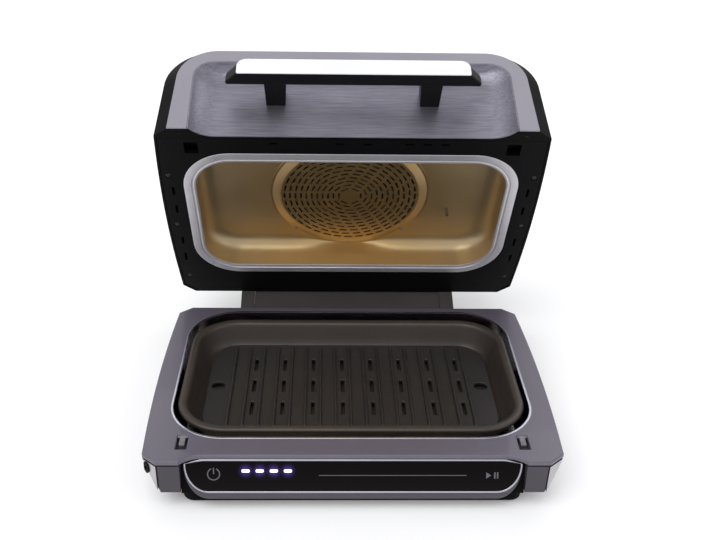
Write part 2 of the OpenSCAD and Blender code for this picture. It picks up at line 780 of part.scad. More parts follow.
module rim_frame() color("#1a1a1d") on_lid() difference() {
    union() {
        slab(rim_z, rim_t) difference() {
            polygon(body_outline(half_w - wall - rim_fit, front_hw - wall - rim_fit,
                lid_hd - wall - fit, corner_y));
            translate([0, inner_front + fit - lid_hd]) square([2 * body_w, 2 * lid_hd], center = true);
            ring_plan(-4);
            for (y = [-51, -17, 46, 80]) mirrored(half_w - 11) translate([-1.5, y - 7]) square([3, 14]);
            for (x = [-91, -15, 17, 65, 85, 106]) translate([x - 5, -lid_hd + 24]) square([10, 2.5]);
        }
        mirrored(crease_hw) slab(rim_z, 13) latch_pocket(1.2);
    }
    slab(rim_z - 1, ring_t + 1) ring_plan(fit);
    mirrored(crease_hw) slab(rim_z - 1, 13) latch_pocket(0);
    rim_screw_holes(rim_z - 1, 9, screw_r + 0.2);
    rim_screw_holes(rim_z - 1, 1 + head_t, head_r + 0.3);
}

module rim_screws() color("#5c5b60") on_lid() for (p = rim_screw_at) mirrored(p[0])
    translate([0, p[1], rim_z + head_t]) screw(12);

module cavity_ring() color("#d5d2cc") on_lid() slab(rim_z, ring_t) difference() {
    ring_plan(0);
    ring_plan(-ring_band);
}

// Outline of the cavity at its mouth, part-way up and at its ceiling
module cavity_form(grow, low, top) translate([0, ring_y, 0]) hull() for (
    p = [[low, 0], [top - 4, cavity_draw], [top, cavity_draw + 1]])
    level(p[0], ring_hw - cavity_in + grow - p[1], ring_hd - cavity_in + grow - p[1],
        ring_r - cavity_in + grow - p[1]);

module cavity_liner() color("#b8a98f") on_lid() difference() {
    union() {
        cavity_form(sheet_t, rim_z + ring_t, ceiling_z + sheet_t - e);
        slab(rim_top, sheet_t) ring_plan(0);
    }
    cavity_form(0, rim_z + ring_t - 2 * e, ceiling_z - e);
    translate([0, ring_y, ceiling_z - 1]) {
        cylinder(h = 4, r = guard_r - 9);
        translate([guard_r + 26, 30, 0]) cylinder(h = 4, r = 2.3);
    }
}

module at_fan(z = 0) on_lid() translate([0, ring_y, z]) children();

// Places of the rivets that hold the heater guard
module at_rivets() for (a = [45:90:315]) rotate([0, 0, a]) translate([guard_r - 2, 0, -4]) children();

// Shallow slotted dish that covers the heating tube
module heater_guard() color("#c2ae8c") at_fan(ceiling_z - e) difference() {
    rotate_extrude() polygon([[0, -guard_dish], [guard_r - 14, -guard_dish], [guard_r - 2, -1],
        [guard_r, -1], [guard_r, 0], [guard_r - 3, 0], [guard_r - 14 - guard_t, guard_t - guard_dish],
        [0, guard_t - guard_dish]]);
    slab(-guard_dish - 1, 4) for (k = [2:guard_rings])
        let (r = k * (guard_r - 18) / guard_rings, n = 3 * k, half = 2.2 * r / n)
            for (j = [1:n]) rotate([0, 0, 360 * (j + k / 2) / n])
                translate([r - 1.2, -half]) square([2.4, 2 * half]);
    at_rivets() cylinder(h = 3, r = 2.3);
}

// Heads of the rivets
module guard_rivets() color("#d8cfbd") at_fan(ceiling_z - e) at_rivets()
    translate([0, 0, 1.5]) cylinder(h = 1.5, r = 2.2);

module heating_element() color("#59504a") at_fan(ceiling_z + sheet_t + tube_r + 3) {
    for (r = [coil_r, coil_r - 13]) rotate_extrude() translate([r, 0]) circle(tube_r);
    rotate([0, 0, 90]) translate([coil_r - 13, 0, 0]) rotate([0, 90, 0]) cylinder(h = 13, r = tube_r - 0.2);
    for (a = [84, 96]) rotate([0, 0, a]) translate([coil_r, 0, 0]) cylinder(h = shroud_h + 6, r = 2);
}

module fan_shroud() color("#a9a8a6") at_fan(ceiling_z + sheet_t) difference() {
    union() {
        cylinder(h = shroud_h + sheet_t, r = shroud_r);
        cylinder(h = sheet_t, r = shroud_r + 7);
    }
    translate([0, 0, -1]) cylinder(h = shroud_h + 1, r = shroud_r - sheet_t);
    cylinder(h = shroud_h + 5, r = shaft_r + 4);
    for (a = [84, 96]) rotate([0, 0, a]) translate([coil_r, 0, 0]) cylinder(h = shroud_h + 5, r = 2.4);
    for (a = [45:90:315]) rotate([0, 0, a]) translate([motor_ear, 0, 0])
        cylinder(h = shroud_h + 5, r = screw_r + 0.2);
}

module motor() color("#3f4246") at_fan(motor_z) difference() {
    union() {
        cylinder(h = motor_h, r = motor_r);
        for (a = [45:90:315]) rotate([0, 0, a]) {
            translate([motor_ear, 0, 0]) cylinder(h = 2.5, r = 4.5);
            translate([0, -4.5, 0]) cube([motor_ear, 9, 2.5]);
        }
    }
    translate([0, 0, -1]) cylinder(h = motor_h + 2, r = shaft_r + 0.06);
    for (a = [45:90:315]) rotate([0, 0, a]) translate([motor_ear, 0, -1]) cylinder(h = 5, r = screw_r + 0.2);
}

module motor_screws() color("#9a9a9e") at_fan(motor_z + 2.5) for (a = [45:90:315])
    rotate([180, 0, a]) translate([motor_ear, 0, 0]) screw(5);

module temperature_probe() color("#c8c8ca") at_fan(ceiling_z + sheet_t) translate([guard_r + 26, 30, 0]) {
    translate([0, 0, -12]) cylinder(h = 24, r = 2);
    cylinder(h = 3, r = 5);
}

module rear_vent() color("#202023") on_lid() difference() {
    union() {
        block([-vent_hw + fit, vent_hw - fit], [lid_hd - wall, lid_hd - 0.5],
            [vent_z + fit, vent_z + vent_h - fit]);
        block([-vent_hw - 4, vent_hw + 4], [lid_hd - wall - 1.9, lid_hd - wall],
            [vent_z - 4, vent_z + vent_h + 4]);
    }
    for (k = [-6:6])
        block([k * 9 - 2, k * 9 + 2], [lid_hd - 6, lid_hd + 1], [vent_z + 4, vent_z + vent_h - 4]);
}

// Fan body: shaft, hot-air impeller below and cooling fan above the motor
module motor_shaft() color("#b4b4b8") at_fan(motor_z - 22) cylinder(h = motor_h + 36, r = shaft_r);

module impeller() color("#bdbcba") at_fan(motor_z - 4 - blade_h) difference() {
    union() {
        translate([0, 0, blade_h - 1.2]) cylinder(h = 1.2, r = impeller_r);
        translate([0, 0, 1]) cylinder(h = blade_h - 1, r = 9);
        for (k = [1:blade_count]) rotate([0, 0, 360 * k / blade_count]) translate([24, -0.6, 0])
            rotate([0, 0, 12]) cube([impeller_r - 28, 1.2, blade_h]);
    }
    translate([0, 0, -1]) cylinder(h = blade_h + 2, r = shaft_r);
}

module cooling_fan() color("#c9c9cb") at_fan(motor_z + motor_h + 3) difference() {
    union() {
        cylinder(h = 9, r = 6.5);
        for (k = [1:6]) rotate([0, 0, 60 * k]) translate([5, 0, 4.5]) rotate([24, 0, 0])
            translate([0, -4, -0.6]) cube([24, 8, 1.2]);
    }
    translate([0, 0, -1]) cylinder(h = 11, r = shaft_r);
}

// ---------- Handle ----------

// Extrudes a shape drawn across the bar and outwards from the face, up the face from v
module up_face(v, h) on_lid() on_face() translate([0, v + h, 0]) rotate([90, 0, 0])
    linear_extrude(h) children();

module handle_bores(from, to, r) on_lid() on_face() mirrored(post_x)
    translate([0, bar_v + bar_h / 2, from]) cylinder(h = to - from, r = r);

// Outline of the bar from the front, with round upper corners
module bar_plan(hw, r) polygon(concat([[-hw, bar_v], [hw, bar_v]],
    [for (a = [0:6:90]) [hw - r + r * cos(a), bar_v + bar_h - r + r * sin(a)]],
    [for (a = [90:6:180]) [r - hw + r * cos(a), bar_v + bar_h - r + r * sin(a)]]));

module handle_bar() color("#252427") difference() {
    on_lid() on_face() hull() {
        slab(bar_w, 4) bar_plan(bar_l / 2, bar_round);
        slab(bar_w + bar_t - 0.1, 0.1) bar_plan(bar_l / 2 - bar_bevel, bar_round - 2);
    }
    handle_bores(bar_w - 1, bar_w + 9, screw_r);
}

module handle_cap() color("#dcdce0") on_lid() on_face()
    slab(bar_w + bar_t, cap_t) bar_plan(bar_l / 2 - bar_bevel, bar_round - 2);

module handle_posts() color("#1f1e21") difference() {
    up_face(bar_v + 0.5, bar_h - 1) for (x = [-post_x, post_x]) translate([x, 0]) polygon(
        [[-post_hw, -dish_depth], [post_hw, -dish_depth], [post_hw + 1.5, bar_w], [-post_hw - 1.5, bar_w]]);
    handle_bores(-dish_depth - 1, bar_w + 1, screw_r + 0.3);
}

module handle_screws() color("#8e8e92") on_lid() on_face() mirrored(post_x)
    translate([0, bar_v + bar_h / 2, -dish_depth - steel_t - fit - wall - 1.2])
        screw(bar_w + dish_depth + 12);

deck();
opening_trim();
pot_well();
lower_housing();
side_panel_left();
side_panel_right();
panel_bezel();
panel_backing();
panel_trim();
control_glass();
light_bars();
panel_marks();
control_board();
probe_port();
bottom_cover();
feet();
body_screws();
cover_screws();
hinge_knuckles();
hinge_pins();
cord_gland();
tongue_left();
tongue_right();
cooking_pot();
grill_plate();
lid_shell();
face_border();
steel_panel();
rim_frame();
rim_screws();
cavity_ring();
cavity_liner();
heater_guard();
guard_rivets();
heating_element();
fan_shroud();
motor();
motor_screws();
temperature_probe();
rear_vent();
handle_bar();
handle_cap();
handle_posts();
handle_screws();
hinge_barrel();
motor_shaft();
impeller();
cooling_fan();
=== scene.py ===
"""Looks of a countertop electric grill with a deep hinged lid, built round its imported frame."""

import logging
import math
from dataclasses import dataclass
from enum import Enum
from typing import Any, Callable, Iterable, Sequence

import bmesh
import bpy
from mathutils import Euler, Matrix, Vector
from mathutils.geometry import tessellate_polygon


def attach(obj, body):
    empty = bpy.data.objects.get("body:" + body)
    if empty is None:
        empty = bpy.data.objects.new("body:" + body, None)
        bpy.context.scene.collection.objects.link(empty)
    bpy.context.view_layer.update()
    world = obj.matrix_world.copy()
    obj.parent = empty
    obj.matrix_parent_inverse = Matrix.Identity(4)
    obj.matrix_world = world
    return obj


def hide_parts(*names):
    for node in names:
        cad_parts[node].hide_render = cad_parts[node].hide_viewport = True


logging.basicConfig(level=logging.INFO, format="%(message)s")
LOG = logging.getLogger("grill")

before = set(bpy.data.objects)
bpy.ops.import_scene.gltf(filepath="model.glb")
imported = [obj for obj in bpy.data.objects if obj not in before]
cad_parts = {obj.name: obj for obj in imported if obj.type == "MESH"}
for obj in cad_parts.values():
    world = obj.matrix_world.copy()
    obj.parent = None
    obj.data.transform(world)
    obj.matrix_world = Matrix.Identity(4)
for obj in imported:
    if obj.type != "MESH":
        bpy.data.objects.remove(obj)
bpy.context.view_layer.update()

Point2 = tuple[float, float]
Vec3 = tuple[float, float, float]
Rgb = tuple[float, float, float]
Loop = list[Point2]


# ---------------------------------------------------------------------------
# Sizes shared by the sub-assemblies, in millimetres
# ---------------------------------------------------------------------------


@dataclass(frozen=True)
class Sizes:
    """Sizes of the grill that more than one sub-assembly uses, in millimetres."""

    half_w: float = 225.0
    half_d: float = 161.0
    front_hw: float = 209.0
    corner_y: float = 14.0
    side_bow: float = 4.5
    deck_h: float = 61.5
    deck_t: float = 5.0
    recess: float = 11.0
    crease_hw: float = 185.0
    recess_run: float = 24.0
    panel_tilt: float = 20.0
    lid_hd: float = 159.0
    lid_h: float = 141.0
    rim_z: float = 62.7
    face_h: float = 128.0
    face_r: float = 48.0
    side_lean: float = 3.4
    bulge: float = 2.0
    open_angle: float = 64.0
    hinge_y: float = 181.5
    hinge_z: float = 31.5
    fit: float = 0.3
    origin_y: float = -77.526
    fan_y: float = -2.0
    deck_screw: Point2 = (199.0, 146.0)
    base_screw: Point2 = (174.0, 143.0)

    @property
    def panel_y(self) -> float:
        """Depth of the control panel's top edge."""
        return -self.half_d + self.recess

    @property
    def panel_z(self) -> float:
        """Height of the control panel's top edge."""
        return self.deck_h - self.deck_t - 0.4


SIZES = Sizes()


class Place(Enum):
    """Frames that pieces are drawn in."""

    BODY = "body"
    PANEL = "panel"
    LID = "lid"
    FACE = "face"
    FAN = "fan"
    BENCH = "bench"

    def matrix(self) -> Matrix:
        """Finds the transform from this frame, in millimetres, to the row frame, in metres.

        Returns:
            The transform.
        """
        if self is Place.BENCH:
            return Matrix.Identity(4)
        s = SIZES
        body = Matrix.Translation((0.0, s.origin_y, 0.0))
        hinge = Matrix.Translation((0.0, s.hinge_y, s.hinge_z))
        lid = body @ hinge @ Matrix.Rotation(-math.radians(s.open_angle), 4, "X") @ hinge.inverted()
        upright = Matrix.Rotation(math.radians(90.0), 4, "X")
        local = {
            Place.BODY: body,
            Place.PANEL: body @ Matrix.Translation((0.0, s.panel_y, s.panel_z))
            @ Matrix.Rotation(math.radians(90.0 - s.panel_tilt), 4, "X"),
            Place.LID: lid,
            Place.FACE: lid @ Matrix.Translation((0.0, -s.lid_hd, s.rim_z)) @ upright,
            Place.FAN: lid @ Matrix.Translation((0.0, s.fan_y, 0.0)),
        }[self]
        return Matrix.Scale(0.001, 4) @ local


class Axis(Enum):
    """Direction in which an outline is drawn out into a solid."""

    Z = "z"
    X = "x"
    Y = "y"

    def point(self, u: float, v: float, w: float) -> Vector:
        """Point whose outline coordinates are u and v, at w along the axis."""
        return Vector({Axis.Z: (u, v, w), Axis.X: (w, u, v), Axis.Y: (u, w, v)}[self])


# ---------------------------------------------------------------------------
# Outlines
# ---------------------------------------------------------------------------


def quarter(steps: int, start: float = 0.0) -> list[float]:
    """Angles of a quarter turn from a start in degrees, in radians."""
    return [math.radians(start + 90.0 * k / steps) for k in range(steps + 1)]


def both_sides(right: Loop) -> Loop:
    """Right half of an outline, followed by its mirror image."""
    return right + [(-x, y) for x, y in reversed(right)]


class Outline:
    """Makes the closed outlines that the pieces share."""

    @staticmethod
    def rounded_rect(hw: float, hd: float, r: float, centre: Point2 = (0.0, 0.0), steps: int = 12) -> Loop:
        """Rectangle with round corners, anticlockwise.

        Args:
            hw: Half the width.
            hd: Half the depth.
            r: Corner radius.
            centre: Middle of the rectangle.
            steps: Segments in each corner.

        Returns:
            The outline's points.
        """
        r = max(r, 0.01)
        points: Loop = []
        for k, (sx, sy) in enumerate(((1, 1), (-1, 1), (-1, -1), (1, -1))):
            cx, cy = centre[0] + sx * (hw - r), centre[1] + sy * (hd - r)
            for j in range(steps + 1):
                a = math.radians(90.0 * (k + j / steps))
                points.append((cx + r * math.cos(a), cy + r * math.sin(a)))
        return points

    @staticmethod
    def circle(r: float, centre: Point2 = (0.0, 0.0), steps: int = 32) -> Loop:
        """Circle, anticlockwise."""
        return [(centre[0] + r * math.cos(math.tau * k / steps), centre[1] + r * math.sin(math.tau * k / steps))
                for k in range(steps)]

    @staticmethod
    def slot(length: float, width: float, centre: Point2, upright: bool = False, steps: int = 5) -> Loop:
        """Slot with rounded ends, which runs along the second coordinate where it is upright."""
        half = (width / 2, length / 2) if upright else (length / 2, width / 2)
        return Outline.rounded_rect(half[0], half[1], width * 0.45, centre, steps)

    @staticmethod
    def body(hw: float, fhw: float, hd: float, steps: int = 24) -> Loop:
        """Plan of the body or the lid: bowed sides and chamfered corners.

        Args:
            hw: Half the width at the side vertices.
            fhw: Half the width of the front and back edges.
            hd: Half the depth.
            steps: Segments along each side.

        Returns:
            The outline's points, anticlockwise from the front left.
        """
        share = [2 * k / steps - 1 for k in range(steps + 1)]
        side = [(hw + SIZES.side_bow * (1 - t * t), (hd - SIZES.corner_y) * t) for t in share]
        return [(-fhw, -hd), (fhw, -hd)] + both_sides(side + [(fhw, hd)])

    @staticmethod
    def run(run: float, depth: float, steps: int = 12) -> list[Point2]:
        """Curved run from a recess's floor to its crease.

        Args:
            run: Width of the run.
            depth: Depth of the recess.
            steps: Segments in the run.

        Returns:
            Half the width and the height above the floor of each point.
        """
        hw = SIZES.crease_hw
        r = (run * run + depth * depth) / (2 * depth)
        top = math.asin(run / r)
        return [(hw - run + r * math.sin(top * k / steps), r * (1 - math.cos(top * k / steps)))
                for k in range(steps + 1)]

    @staticmethod
    def deck() -> Loop:
        """Plan of the deck with the recess in its front edge.

        Returns:
            The outline's points.
        """
        body = Outline.body(SIZES.half_w, SIZES.front_hw, SIZES.half_d)
        right = [(x, SIZES.panel_y - h) for x, h in Outline.run(SIZES.recess_run, SIZES.recess)]
        left = [(-x, y) for x, y in reversed(right)]
        return [body[0]] + left + right + body[1:]

    @staticmethod
    def lid_section(hw: float, top_hw: float, low: float, h: float, r: float, steps: int = 14) -> Loop:
        """Upright section of the lid: straight sides and round top corners."""
        right = [(top_hw - r + r * math.cos(a), h - r + r * math.sin(a)) for a in quarter(steps)]
        return [(-hw, low), (hw, low)] + both_sides(right)

    @staticmethod
    def panel(side: float, foot: float, top: float = 0.0, steps: int = 14) -> Loop:
        """Control panel: straight top and foot, rounded lower corners.

        Args:
            side: How far the outline grows at each side.
            foot: How far it grows at its foot.
            top: How far its top edge drops.
            steps: Segments in each lower corner.

        Returns:
            The outline's points, anticlockwise.
        """
        top_hw, hw, shoulder, foot_hw, height = 163.0 + side, 181.0 + side, 5.0, 154.0, 37.5
        a, b = hw - foot_hw, height + foot - shoulder
        right = [(foot_hw + a * math.cos(t), -shoulder - b * math.sin(t)) for t in quarter(steps)]
        return ([(-top_hw, -top), (top_hw, -top)] + both_sides(right))[::-1]

    @staticmethod
    def divided(loop: Loop, parts: int, long: float = 20.0) -> Loop:
        """Outline whose long edges are divided into equal parts.

        Args:
            loop: The outline.
            parts: Parts in each long edge.
            long: Length above which an edge counts as long.

        Returns:
            The outline's points.
        """
        points: Loop = []
        for (ax, ay), (bx, by) in zip(loop, loop[1:] + loop[:1]):
            n = parts if math.hypot(bx - ax, by - ay) > long else 1
            points += [(ax + (bx - ax) * k / n, ay + (by - ay) * k / n) for k in range(n)]
        return points

    @staticmethod
    def grown(loop: Loop, d: float) -> Loop:
        """Outline moved outwards by d, or inwards where d is negative.

        Args:
            loop: Anticlockwise outline.
            d: Distance to move each edge.

        Returns:
            The new outline, with as many points.
        """
        tiny, sharpest = 1e-9, 0.35
        if abs(d) < tiny:
            return list(loop)
        out: Loop = []
        n = len(loop)
        for k in range(n):
            (ax, ay), (bx, by), (cx, cy) = loop[k - 1], loop[k], loop[(k + 1) % n]
            e1, e2 = Vector((bx - ax, by - ay)), Vector((cx - bx, cy - by))
            if e1.length < tiny or e2.length < tiny:
                e1 = e1 if e1.length >= tiny else e2
                e2 = e2 if e2.length >= tiny else e1
            e1.normalize()
            e2.normalize()
            n1, n2 = Vector((e1.y, -e1.x)), Vector((e2.y, -e2.x))
            m = (n1 + n2) / max(1.0 + n1.dot(n2), sharpest)
            out.append((bx + m.x * d, by + m.y * d))
        return out


# ---------------------------------------------------------------------------
# Solids
# ---------------------------------------------------------------------------


def add_object(name: str, data: bpy.types.ID) -> bpy.types.Object:
    """Adds an object to the scene.

    Args:
        name: Name of the object.
        data: Its mesh, light or camera.

    Returns:
        The object.
    """
    obj = bpy.data.objects.new(name, data)
    bpy.context.scene.collection.objects.link(obj)
    return obj


def add_mesh(name: str, mesh: bmesh.types.BMesh) -> bpy.types.Object:
    """Turns an edit mesh into an object in the scene, and frees it.

    Args:
        name: Name of the object.
        mesh: The edit mesh.

    Returns:
        The object.
    """
    data = bpy.data.meshes.new(name)
    mesh.to_mesh(data)
    mesh.free()
    return add_object(name, data)


class Solid:
    """Gathers closed shapes, in millimetres, and turns them into one mesh object."""

    MERGE = 0.002
    SLIVER = 0.001

    def __init__(self, place: Place) -> None:
        """Starts an empty solid whose points are given in one frame."""
        self.place = place
        self.mesh = bmesh.new()

    def _ring(self, points: Iterable[Vector]) -> list[bmesh.types.BMVert]:
        """Adds one ring of vertices."""
        return [self.mesh.verts.new(p) for p in points]

    def _bridge(self, a: Sequence[bmesh.types.BMVert], b: Sequence[bmesh.types.BMVert]) -> None:
        """Joins two rings that have as many vertices.

        Args:
            a: First ring.
            b: Second ring.
        """
        for k in range(len(a)):
            j = (k + 1) % len(a)
            self.mesh.faces.new((a[k], a[j], b[j], b[k]))

    def _cap(self, rings: Sequence[Sequence[bmesh.types.BMVert]]) -> None:
        """Fills a flat end, leaving the inner rings open.

        Args:
            rings: Outer ring and the rings of the holes.
        """
        verts = [v for ring in rings for v in ring]
        for tri in tessellate_polygon([[v.co for v in ring] for ring in rings]):
            corner = tuple(verts[i] for i in tri)
            if len(set(corner)) == 3:
                self.mesh.faces.new(corner)

    def prism(self, outer: Loop, low: float, high: float, holes: Sequence[Loop] = (), edge: float = 0.4,
              low_edge: float | None = None, axis: Axis = Axis.Z, steps: int = 3) -> "Solid":
        """Adds an outline drawn out along an axis, with rounded edges and open holes.

        Args:
            outer: Anticlockwise outline.
            low: Where the solid starts along the axis.
            high: Where it ends.
            holes: Anticlockwise outlines of the holes.
            edge: Radius of the edges at the high end.
            low_edge: Radius of the edges at the low end, the same where it is None.
            axis: Direction in which the outline is drawn out.
            steps: Segments in each rounded edge.

        Returns:
            This solid.
        """
        low_edge = edge if low_edge is None else low_edge
        arc = quarter(steps)
        profile = [(low_edge * (1 - math.sin(a)), low + low_edge * (1 - math.cos(a))) for a in arc]
        profile += [(edge * (1 - math.cos(a)), high - edge * (1 - math.sin(a))) for a in arc]
        ends: tuple[list, list] = ([], [])
        for loop, sign in [(outer, -1.0)] + [(hole, 1.0) for hole in holes]:
            rings = [self._ring(axis.point(x, y, w) for x, y in Outline.grown(loop, sign * inset))
                     for inset, w in profile]
            for a, b in zip(rings, rings[1:]):
                self._bridge(a, b)
            ends[0].append(rings[0])
            ends[1].append(rings[-1])
        self._cap(ends[0])
        self._cap(ends[1])
        return self

    def cutter(self, outer: Loop, low: float, high: float) -> bpy.types.Object:
        """Sharp-edged outline drawn out along Z, as a tool to cut with."""
        return self.prism(outer, low, high, edge=0.0, steps=1).build("cutter")

    def loft(self, rings: Sequence[Sequence[Vector]], closed: bool = False) -> "Solid":
        """Adds a skin over rings of points.

        Args:
            rings: Rings with as many points, in order.
            closed: Whether the last ring joins the first; otherwise the end rings are filled.

        Returns:
            This solid.
        """
        made = [self._ring(ring) for ring in rings]
        for a, b in zip(made, made[1:]):
            self._bridge(a, b)
        if closed:
            self._bridge(made[-1], made[0])
        else:
            self._cap([made[0]])
            self._cap([made[-1]])
        return self

    def turned(self, profile: Sequence[Point2], steps: int = 48, centre: Point2 = (0.0, 0.0)) -> "Solid":
        """Adds a closed profile of radius and height turned about an upright axis.

        Args:
            profile: Radius and height of each point; a radius of 0 closes on the axis.
            steps: Segments round the axis.
            centre: Where the axis stands.

        Returns:
            This solid.
        """
        thinnest, middle = 1e-4, Vector((*centre, 0.0))
        rings = []
        for k in range(steps):
            a = math.tau * k / steps
            rings.append([Vector((max(r, thinnest) * math.cos(a), max(r, thinnest) * math.sin(a), z)) + middle
                          for r, z in profile])
        return self.loft(rings, closed=True)

    def bowl(self, profile: Sequence[Point2], outline: Callable[[float], Loop], closed: bool = False) -> "Solid":
        """Adds a wall along an outline from each ring's inset and height; it may close on itself, as a ring does."""
        return self.loft([[Vector((x, y, z)) for x, y in outline(inset)] for inset, z in profile], closed)

    def build(self, name: str, finish: "Surface | None" = None, smooth: float = 35.0,
              soften: float = 0.0) -> bpy.types.Object:
        """Turns what was gathered into an object in the row frame.

        Args:
            name: Name of the object.
            finish: Finish that the object gets, None for a tool.
            smooth: Edges sharper than this many degrees stay sharp.
            soften: Radius that its sharp edges are rounded to, in millimetres.

        Returns:
            The finished object.
        """
        bmesh.ops.remove_doubles(self.mesh, verts=self.mesh.verts, dist=self.MERGE)
        bmesh.ops.dissolve_degenerate(self.mesh, edges=self.mesh.edges, dist=self.SLIVER)
        self.mesh.transform(self.place.matrix())
        bmesh.ops.recalc_face_normals(self.mesh, faces=self.mesh.faces)
        obj = add_mesh(name, self.mesh)
        if finish:
            Workshop.soften(obj, soften)
            Workshop.shade(obj, smooth)
            finish.dress(obj)
        return obj


class Workshop:
    """Steps that finish a piece once its mesh is there."""

    FLAT_WEIGHT = 80
    BEVEL_ANGLE = math.radians(30.0)
    BEVEL_SEGMENTS = 2
    CAD_MERGE = 2e-6
    CAD_SLIVER = 1e-6
    CAD_FLAT = math.radians(0.4)

    @staticmethod
    def shade(obj: bpy.types.Object, smooth: float = 35.0) -> None:
        """Shades an object smooth, with sharp edges above an angle and flat faces kept flat.

        Args:
            obj: Mesh object to shade.
            smooth: Edges sharper than this many degrees stay sharp.
        """
        obj.data.shade_smooth()
        obj.data.set_sharp_from_angle(angle=math.radians(smooth))
        weighted = obj.modifiers.new("flat_faces", "WEIGHTED_NORMAL")
        weighted.keep_sharp = True
        weighted.mode = "FACE_AREA"
        weighted.weight = Workshop.FLAT_WEIGHT
        Workshop.apply(obj)

    @staticmethod
    def soften(obj: bpy.types.Object, radius: float) -> None:
        """Rounds an object's sharp edges.

        Args:
            obj: Mesh object in the row frame.
            radius: Radius of the edges in millimetres; 0 leaves them sharp.
        """
        if radius > 0:
            bevel = obj.modifiers.new("edges", "BEVEL")
            bevel.width = radius / 1000.0
            bevel.segments = Workshop.BEVEL_SEGMENTS
            bevel.limit_method = "ANGLE"
            bevel.angle_limit = Workshop.BEVEL_ANGLE
            bevel.harden_normals = False
            Workshop.apply(obj)

    @staticmethod
    def refine(node: str, finish: "Surface", radius: float) -> bpy.types.Object:
        """Copies a CAD node, joins its triangles into faces and rounds its edges.

        Args:
            node: Name of the node.
            finish: Finish of the copy.
            radius: Radius of its edges in millimetres.

        Returns:
            The copy.
        """
        mesh = bmesh.new()
        mesh.from_mesh(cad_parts[node].data)
        bmesh.ops.remove_doubles(mesh, verts=mesh.verts, dist=Workshop.CAD_MERGE)
        bmesh.ops.dissolve_degenerate(mesh, edges=mesh.edges, dist=Workshop.CAD_SLIVER)
        bmesh.ops.dissolve_limit(mesh, angle_limit=Workshop.CAD_FLAT, verts=mesh.verts, edges=mesh.edges)
        obj = add_mesh(node + "_piece", mesh)
        Workshop.soften(obj, radius)
        Workshop.shade(obj)
        finish.dress(obj)
        return obj

    @staticmethod
    def apply(obj: bpy.types.Object) -> None:
        """Turns an object's modifiers into plain mesh.

        Args:
            obj: Mesh object with its modifiers.
        """
        bpy.context.view_layer.update()
        result = bpy.data.meshes.new_from_object(obj.evaluated_get(bpy.context.evaluated_depsgraph_get()))
        obj.modifiers.clear()
        old = obj.data
        obj.data = result
        result.name = obj.name
        bpy.data.meshes.remove(old)

    @staticmethod
    def cut(obj: bpy.types.Object, tools: Sequence[bpy.types.Object], smooth: float = 35.0,
            soften: float = 0.0) -> None:
        """Cuts other objects out of one and removes them.

        Args:
            obj: Object that is cut.
            tools: Closed objects to take away.
            smooth: Edges sharper than this many degrees stay sharp.
            soften: Radius that its sharp edges are rounded to afterwards, in millimetres.
        """
        for tool in tools:
            step = obj.modifiers.new("cut", "BOOLEAN")
            step.operation = "DIFFERENCE"
            step.solver = "EXACT"
            step.object = tool
        Workshop.apply(obj)
        for tool in tools:
            bpy.data.objects.remove(tool)
        Workshop.soften(obj, soften)
        Workshop.shade(obj, smooth)

    @staticmethod
    def join(first: bpy.types.Object, second: bpy.types.Object, name: str = "") -> bpy.types.Object:
        """Puts a second object's mesh into the first and removes the second.

        Args:
            first: Object that stays.
            second: Object that goes.
            name: New name of the first object, if any.

        Returns:
            The first object.
        """
        with bpy.context.temp_override(active_object=first, object=first, selected_editable_objects=[first, second],
                                       selected_objects=[first, second]):
            bpy.ops.object.join()
        first.name = name or first.name
        return first

    @staticmethod
    def place(obj: bpy.types.Object, body: str, slot: str, *nodes: str) -> bpy.types.Object:
        """Makes a piece ride on its body and stand for its CAD nodes.

        Args:
            obj: The finished piece.
            body: CAD body that it moves with.
            slot: Material slot of the record; not used.
            nodes: CAD nodes that it stands for.

        Returns:
            The piece.
        """
        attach(obj, body)
        if nodes:
            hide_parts(*nodes)
        LOG.info("%s: %d faces on %s", obj.name, len(obj.data.polygons), body)
        return obj


# ---------------------------------------------------------------------------
# Finishes
# ---------------------------------------------------------------------------


@dataclass
class Term:
    """Socket of a material whose value can be used in sums and products.

    Attributes:
        graph: Material's nodes that the socket belongs to.
        socket: The output socket.
    """

    graph: "Graph"
    socket: bpy.types.NodeSocket | None

    def _math(self, operation: str, a: "Term | float", b: "Term | float") -> "Term":
        """Adds one Math node."""
        return self.graph.add("ShaderNodeMath", {"operation": operation}, {0: a, 1: b})

    def __add__(self, other: "Term | float") -> "Term":
        """Sum."""
        return self._math("ADD", self, other)

    def __sub__(self, other: "Term | float") -> "Term":
        """Difference."""
        return self._math("SUBTRACT", self, other)

    def __rsub__(self, other: float) -> "Term":
        """Difference from a number."""
        return self._math("SUBTRACT", other, self)

    def __mul__(self, other: "Term | float") -> "Term":
        """Product."""
        return self._math("MULTIPLY", self, other)

    def __gt__(self, other: "Term | float") -> "Term":
        """1 where this is above the other, 0 elsewhere."""
        return self._math("GREATER_THAN", self, other)

    __radd__ = __add__
    __rmul__ = __mul__


